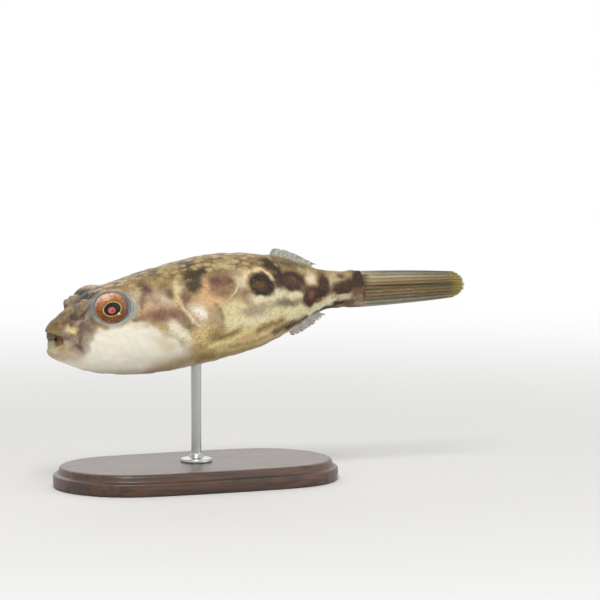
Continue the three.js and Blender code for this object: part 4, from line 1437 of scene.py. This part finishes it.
pectoral_clear = fin_finish(
    "pectoral fin", (214, 180, 132), (206, 182, 138), (242, 226, 180), 0.13, 0.0, 0.5,
)
dorsal_grey = fin_finish(
    "dorsal fin", (186, 186, 166), (142, 146, 126), (226, 226, 214), 0.92, 0.6, 0.1,
)
anal_grey = fin_finish(
    "anal fin", (196, 188, 176), (150, 142, 130), (236, 232, 222), 0.9, 0.5, 0.1,
)
print("finishes:", pectoral_clear.name, "-", dorsal_grey.name, "-", anal_grey.name)

# %% [markdown]
# The closed tail fin shows its bands from top to bottom: a clear margin, tan and cream rays, a
# dark line along the middle, olive rays, and a clear margin again. They are a colour ramp over
# the share across the fin, blurred by noise that runs along the rays. Then the shades along the
# fin are laid over the bands: light and dark at its root, darker towards its edge, pale at its hem.

# %% Tail fin
#    share from the top, colour
TAIL_BANDS = [
    (0.00, (120, 120, 110)),
    (0.10, (158, 152, 134)),
    (0.18, (182, 168, 134)),
    (0.27, (160, 140, 100)),
    (0.36, (144, 122, 82)),
    (0.43, (106, 86, 48)),
    (0.50, (102, 86, 52)),
    (0.60, (128, 106, 68)),
    (0.72, (116, 96, 64)),
    (0.80, (98, 88, 58)),
    (0.88, (134, 128, 110)),
    (1.00, (130, 126, 116)),
]


def tail_fin_finish():
    finish = Finish("tail fin", {"Coat Weight": 0.3, "Coat Roughness": 0.18, "IOR": 1.38})
    ray, share, along = finish.fact("ray"), finish.fact("share"), finish.fact("along")
    run = finish.node("ShaderNodeCombineXYZ", None, {0: along * 0.006, 1: share * 0.012, 2: 0.0}, out=0)
    lines = finish.noise(0.5, 5.0, 0.62, 0.1, run)
    stops = [(place, tone(*band)) for place, band in TAIL_BANDS]
    at = share + (lines - 0.5) * 0.05
    finish.colour = finish.node("ShaderNodeValToRGB", {"stops": stops}, {0: at}, out="Color")
    finish.lay(lines.step(0.52, 0.7) * 0.28, (206, 194, 156))
    finish.lay(lines.step(0.46, 0.3) * 0.3, (80, 66, 38))
    finish.lay(ray.step(0.6, 0.0) * 0.12, (60, 48, 30))
    streaks = (along + (lines - 0.5) * 0.14).step(0.13, 0.05)
    streaks = streaks * share.step(0.06, 0.14) * share.step(0.62, 0.46)
    off_line = share - along * 0.07 - 0.425 + (lines - 0.5) * 0.02
    dark_line = (off_line * off_line).step(0.0005, 0.00005)
    dark_line = dark_line * along.step(0.08, 0.3) * along.step(0.96, 0.9)
    root_light = along.step(0.26, 0.04) * share.step(0.42, 0.3)
    finish.lay(root_light * 0.5, (196, 182, 134))
    root_dark = along.step(0.14, 0.02) * share.step(0.45, 0.55) * share.step(0.84, 0.78)
    finish.lay(root_dark * 0.8, (112, 74, 44))
    finish.lay(streaks * 0.85, (70, 53, 40))
    finish.lay(along.step(0.35, 0.85) * 0.42, (80, 66, 34))
    finish.lay(dark_line * 0.9, (36, 25, 8))
    finish.lay(along.step(0.84, 0.97) * 0.6, (158, 142, 58))
    finish.lay(along.step(0.965, 1.0) * 0.7, (206, 202, 186))
    edge = (share - 0.5) * (share - 0.5)
    clear = edge.step(0.18, 0.24) * 0.3 + along.step(0.96, 1.0) * 0.3
    normal = finish.bump(lines + ray * 0.4, 0.3, 0.06)
    return finish.give(Alpha=0.98 - clear, Roughness=0.34 + lines * 0.15, Normal=normal)


# %% [markdown]
# Now each fin's curves are given their rays, thickness and edge. The tail fin is thick and its
# edge almost whole; the small fins are thin, and the dorsal and anal fins are ragged.

# %% The five fins' meshes
folded = {"thick": (0.34, 0.62, 0.36), "notch": 0.012, "wave": 0.3, "pleat": 0.13, "stray": 0.3}
ragged = {"thick": (0.12, 0.42, 0.16), "notch": 0.34, "wave": 0.12, "stray": 0.4}
spread = {"thick": (0.10, 0.30, 0.14), "notch": 0.03, "wave": 0.35}
tail = fin_shell(tail_curves, 11, 340, 140, **folded)
dorsal = fin_shell(dorsal_curves, 14, 460, 56, **ragged)
anal = fin_shell(anal_curves, 12, 420, 56, **ragged)
pectoral_left = fin_shell(lambda s: pectoral_curves(-1, s), 15, 300, 90, **spread)
pectoral_right = fin_shell(lambda s: pectoral_curves(1, s), 15, 300, 90, **spread)
for name, shell, material, slot in (
    ("caudal_fin", tail, tail_fin_finish(), "tail_fin"),
    ("dorsal_fin", dorsal, dorsal_grey, "fin"),
    ("anal_fin", anal, anal_grey, "fin"),
    ("pectoral_fin_left", pectoral_left, pectoral_clear, "fin"),
    ("pectoral_fin_right", pectoral_right, pectoral_clear, "fin"),
):
    fin = make_mesh(f"{name}_rays", [shell], fish_origin)
    fin.data.materials.append(material)
    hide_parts(name)
    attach(fin, "root")

# %% [markdown]
# ## Beak
#
# A puffer's teeth are fused into a beak of four plates, two above and two below, with a seam down
# the middle. The two plates of a jaw touch, so they are made as one bowed wall: its sections
# follow an arc round the front of the mouth, and a shallow dent in the arc makes the seam.

# %% Beak plates
def beak(root_z, edge_z, tucked):
    """An arc of closed sections. The section is an oval drawn out from the root to a thin edge."""
    swing = np.linspace(-1.15, 1.15, 100)[:, None]
    turn = np.linspace(0, 2 * np.pi, 40, endpoint=False)[None, :]
    up = 0.5 - 0.5 * np.cos(turn)
    thick = (0.42 - 0.24 * up) * np.sin(turn)
    seam = 0.16 * np.exp(-((swing / 0.05) ** 2))
    fade = np.sqrt(np.clip(1 - (np.abs(swing) / 1.17) ** 6, 0, 1))
    bow = 0.22 * np.sin(np.pi * up)
    radius = 2.5 + bow + thick * fade - seam
    lowered = (0.62 + 0.38 * np.cos(swing * 1.2)) * (0.55 + 0.45 * fade)
    height = root_z + (edge_z - root_z) * up * lowered
    radius = radius - tucked
    wall = points_of(3.2 - radius * np.cos(swing), radius * np.sin(swing) * 0.92, height)
    return Shell(wall, rise=up + 0 * swing)


def beak_finish(name, at_root, at_edge):
    """Enamel: its colour runs from root to edge, clouded by a fine grain."""
    finish = Finish(name, {"Coat Weight": 0.4, "Coat Roughness": 0.15, "Specular IOR Level": 0.3})
    rise, grain = finish.fact("rise"), finish.noise(0.5, 4.0, 0.6)
    finish.colour = finish.mix(rise.step(0.1, 0.95), tone(*at_root), tone(*at_edge))
    finish.lay(grain.step(0.45, 0.75) * 0.3, (104, 92, 74))
    return finish.give(Roughness=0.3 + grain * 0.2, Normal=finish.bump(grain, 0.2, 0.05))


# The upper plates' dark tones are the beak's own grey-brown with painted shade from the upper lip.
beak_tones = {"upper": ((88, 73, 50), (98, 86, 64)), "lower": ((186, 176, 138), (122, 124, 106))}
for word, root_z, edge_z, tucked in (("upper", 13.4, 10.4, 0.0), ("lower", 7.6, 11.9, 0.3)):
    plates = make_mesh(f"beak_{word}_plates", [beak(root_z, edge_z, tucked)], fish_origin)
    plates.data.materials.append(beak_finish(f"{word} beak enamel", *beak_tones[word]))
    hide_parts(f"beak_{word}")
    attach(plates, "root")

# %% [markdown]
# ## Stand
#
# The base is a flat oval of dark wood with a moulded edge, cut by a router on a real one. Its edge
# profile is carried round an outline of two straight sides and two half circles.

# %% Base
base_low, base_high = (np.array(corner) * 1000 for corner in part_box("stand_base"))
rod_low, rod_high = (np.array(corner) * 1000 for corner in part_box("stand_rod"))
base_half = (base_high - base_low)[:2] / 2
thick = base_high[2] - base_low[2]

#    step, inset from the outline, height
EDGE = [
    (0.0, base_half[1] - 0.5, 0.0),
    (1.0, 2.0, 0.0),
    (1.4, 0.7, 0.05),
    (1.8, 0.15, 0.5),
    (2.4, 0.0, 1.6),
    (3.0, 0.0, 0.45 * thick),
    (3.4, 0.25, 0.6 * thick),
    (3.7, 1.2, 0.66 * thick),
    (4.0, 1.5, 0.75 * thick),
    (4.4, 1.9, 0.93 * thick),
    (4.8, 2.7, thick),
    (5.4, 4.5, thick),
    (6.4, base_half[1] - 0.5, thick),
]


def oval_base(columns=256, levels=90):
    """The edge's profile carried round: a point goes in from the outline along its own normal."""
    inset, height = curve_through(EDGE, np.linspace(0, 6.4, levels))
    turn = np.linspace(0, 2 * np.pi, columns, endpoint=False)
    straight = base_half[0] - base_half[1]
    radius = (base_half[1] - inset)[:, None]
    x = straight * np.tanh(4.5 * np.cos(turn)) / np.tanh(4.5) + radius * np.cos(turn)
    return Shell(points_of(x, radius * np.sin(turn), height[:, None]))


print("base", (2 * base_half).round(1), "mm and", round(float(thick), 1), "mm thick")

# %% [markdown]
# The steel rod is turned on a lathe, so a profile of radius against height is all it needs: a
# collar that sits on the base, a short waist, the plain shaft, and an end that is chamfered to
# find its hole in the belly.

# %% Rod
foot, top = rod_low[2], rod_high[2]
#    step, radius, height over the table
ROD = [
    (0.0, 0.05, foot),
    (1.0, 4.5, foot),
    (1.3, 4.5, foot + 0.7),
    (1.6, 4.15, foot + 1.05),
    (2.0, 2.4, foot + 1.25),
    (2.4, 2.1, foot + 1.6),
    (2.8, 1.6, foot + 2.3),
    (3.2, 1.5, foot + 3.2),
    (6.0, 1.5, top - 4),
    (7.0, 1.5, top - 1),
    (7.3, 1.2, top),
    (7.6, 0.05, top),
]


def turned_rod():
    """The profile of radius against height, turned once round the rod's axis."""
    radius, height = curve_through(ROD, np.linspace(0, 7.6, 140))
    turn = np.linspace(0, 2 * np.pi, 64, endpoint=False)
    radius = radius[:, None]
    return Shell(points_of(radius * np.cos(turn), radius * np.sin(turn), height[:, None]))


print("rod from", round(float(foot), 1), "to", round(float(top), 1), "mm over the table")

# %% [markdown]
# Wood and brushed steel are the same trick: noise drawn out along one direction. The wood's grain
# runs along the base, its pores are a finer noise that darkens and dents it. The steel's lines
# run up the rod and change its shine more than its colour.

# %% Wood and steel
finish = Finish("dark oiled wood", {"Coat Weight": 0.25, "Coat Roughness": 0.25})
along_base = {"Vector": finish.place, "Scale": (0.12, 1.0, 1.0)}
stretch = finish.node("ShaderNodeMapping", None, along_base, out=0)
grain = finish.noise(3.0, 6.0, 0.6, 1.2, stretch)
pores = finish.noise(0.35, 3.0, 0.7, 0.0, stretch)
finish.colour = finish.mix(grain.step(0.3, 0.7), tone(46, 30, 22), tone(92, 60, 40))
finish.lay(pores.step(0.55, 0.7) * 0.6, (26, 17, 13))
wood = finish.give(Roughness=0.32 + pores * 0.25, Normal=finish.bump(pores, 0.25, 0.05))

finish = Finish("brushed steel", {"Metallic": 1.0})
up_rod = {"Vector": finish.place, "Scale": (1.0, 1.0, 0.04)}
brush = finish.node("ShaderNodeMapping", None, up_rod, out=0)
lines = finish.noise(0.12, 4.0, 0.7, 0.0, brush)
finish.colour = finish.mix(lines, tone(150, 150, 148), tone(196, 196, 194))
steel = finish.give(Roughness=0.24 + lines * 0.18, Normal=finish.bump(lines, 0.15, 0.02))

for name, shell, material, slot in (
    ("stand_base", oval_base(), wood, "base_wood"),
    ("stand_rod", turned_rod(), steel, "rod_steel"),
):
    piece = make_mesh(f"{name}_finished", [shell], np.zeros(3))
    piece.data.materials.append(material)
    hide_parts(name)
    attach(piece, "root")

# %% [markdown]
# ## Floor, light and camera
#
# The floor is a wide pale sheet, lit evenly round the model so that its shadow shows, and fading
# into plain white further off. The fade mixes in a surface that glows, but only where the floor is
# looked at: as a lamp it would light the model from below.

# %% Studio
def floor_sheet(reach=30000):
    """A flat grid whose rows and columns crowd towards the middle: reach times a share cubed."""
    share = np.linspace(-1, 1, 9)
    sheet = points_of(reach * share[None, :] ** 3, reach * share[:, None] ** 3, -0.05)
    return Shell(sheet, around=False, closed_ends=False)


def only_seen(finish):
    """1 where a surface is looked at directly, in a mirror or through glass, and 0 as a lamp."""
    path = finish.node("ShaderNodeLightPath")
    names = ("Is Camera Ray", "Is Glossy Ray", "Is Transmission Ray")
    direct, mirrored, through = (Signal(finish, path.outputs[name]) for name in names)
    return direct + mirrored + through


finish = Finish("pale paper", {"Roughness": 0.9})
fibre = finish.noise(1.5, 3.0)
finish.colour = finish.mix(fibre, tone(238, 237, 235), tone(243, 242, 240))
paper = finish.give()
white = finish.node("ShaderNodeEmission", None, {"Color": (1.0, 1.0, 1.0), "Strength": 1.0})
far_off = finish.node("ShaderNodeVectorMath", {"operation": "LENGTH"}, {0: finish.place}, out="Value")
fade = finish.node("ShaderNodeMixShader", None, {0: far_off.step(0.10, 0.5) * only_seen(finish)})
links = finish.tree.links
links.new(finish.shader.outputs[0], fade.inputs[1])
links.new(white.outputs[0], fade.inputs[2])
links.new(fade.outputs[0], finish.tree.nodes["Material Output"].inputs["Surface"])
floor = make_mesh("studio_floor", [floor_sheet()], np.zeros(3))
floor.data.materials.append(paper)

# %% [markdown]
# The sky is plain white to the eye but dim as a lamp, by the same trick as the floor's. Three large
# soft lamps do the lighting: a key from above on the left, a weak fill from the front, and one
# behind to part the back from the white. Their power is set so that a colour looks about as it is
# written.

# %% Sky and lamps
class Sky(Finish):
    """The world's material: white to the eye, dim as a lamp."""

    def __init__(self, brightness):
        self.world = bpy.data.worlds.new("sky")
        self.world.use_nodes = True
        self.tree = self.world.node_tree
        strength = only_seen(self) * (1.0 - brightness) + brightness
        self.feed(self.tree.nodes["Background"].inputs["Strength"], strength)
        self.feed(self.tree.nodes["Background"].inputs["Color"], (1.0, 1.0, 1.0))


bpy.context.scene.world = Sky(0.31).world


def aim(direction):
    """Turns that point an object's -Z along direction with its +Y upwards."""
    x, y, z = direction / np.linalg.norm(direction)
    return (float(np.arccos(-z)), 0.0, float(np.arctan2(y, x) - np.pi / 2))


def lamp(name, place, size, watts):
    """A square area lamp at place, turned to face the model's middle; places in metres."""
    light = bpy.data.lights.new(name, "AREA")
    light.size, light.energy = size, watts
    made = bpy.data.objects.new(name, light)
    made.location = place
    made.rotation_euler = aim(MODEL_MIDDLE - np.array(place))
    bpy.context.collection.objects.link(made)
    print("lamp", name, "of", watts, "watts")


MODEL_MIDDLE = np.array([0.01, 0.0, 0.05])
lamp("key", (-0.28, -0.62, 0.92), 0.4, 7.4)
lamp("fill", (0.75, -0.7, 0.3), 0.8, 2.2)
lamp("back", (0.2, 0.8, 0.6), 0.7, 1.8)

# %% [markdown]
# The camera looks from a little in front of the fish's left side and a little above it, so that
# the mouth and the near eye both show. A long lens from over a metre away keeps the proportions
# of the fish as they are.

# %% Camera
AZIMUTH, ELEVATION, DISTANCE = np.radians(-22), np.radians(6), 1.2
target = np.array([0.032, 0.0, 0.0512])
away = np.array([
    np.sin(AZIMUTH) * np.cos(ELEVATION),
    -np.cos(AZIMUTH) * np.cos(ELEVATION),
    np.sin(ELEVATION),
])
camera = bpy.data.objects.new("camera", bpy.data.cameras.new("camera"))
camera.data.sensor_width = 36
camera.data.lens = 250
camera.location = target + away * DISTANCE
camera.rotation_euler = aim(-away)
bpy.context.collection.objects.link(camera)
bpy.context.scene.camera = camera
bpy.context.scene.view_settings.view_transform = "Standard"
print("camera at", [round(float(v), 3) for v in camera.location])
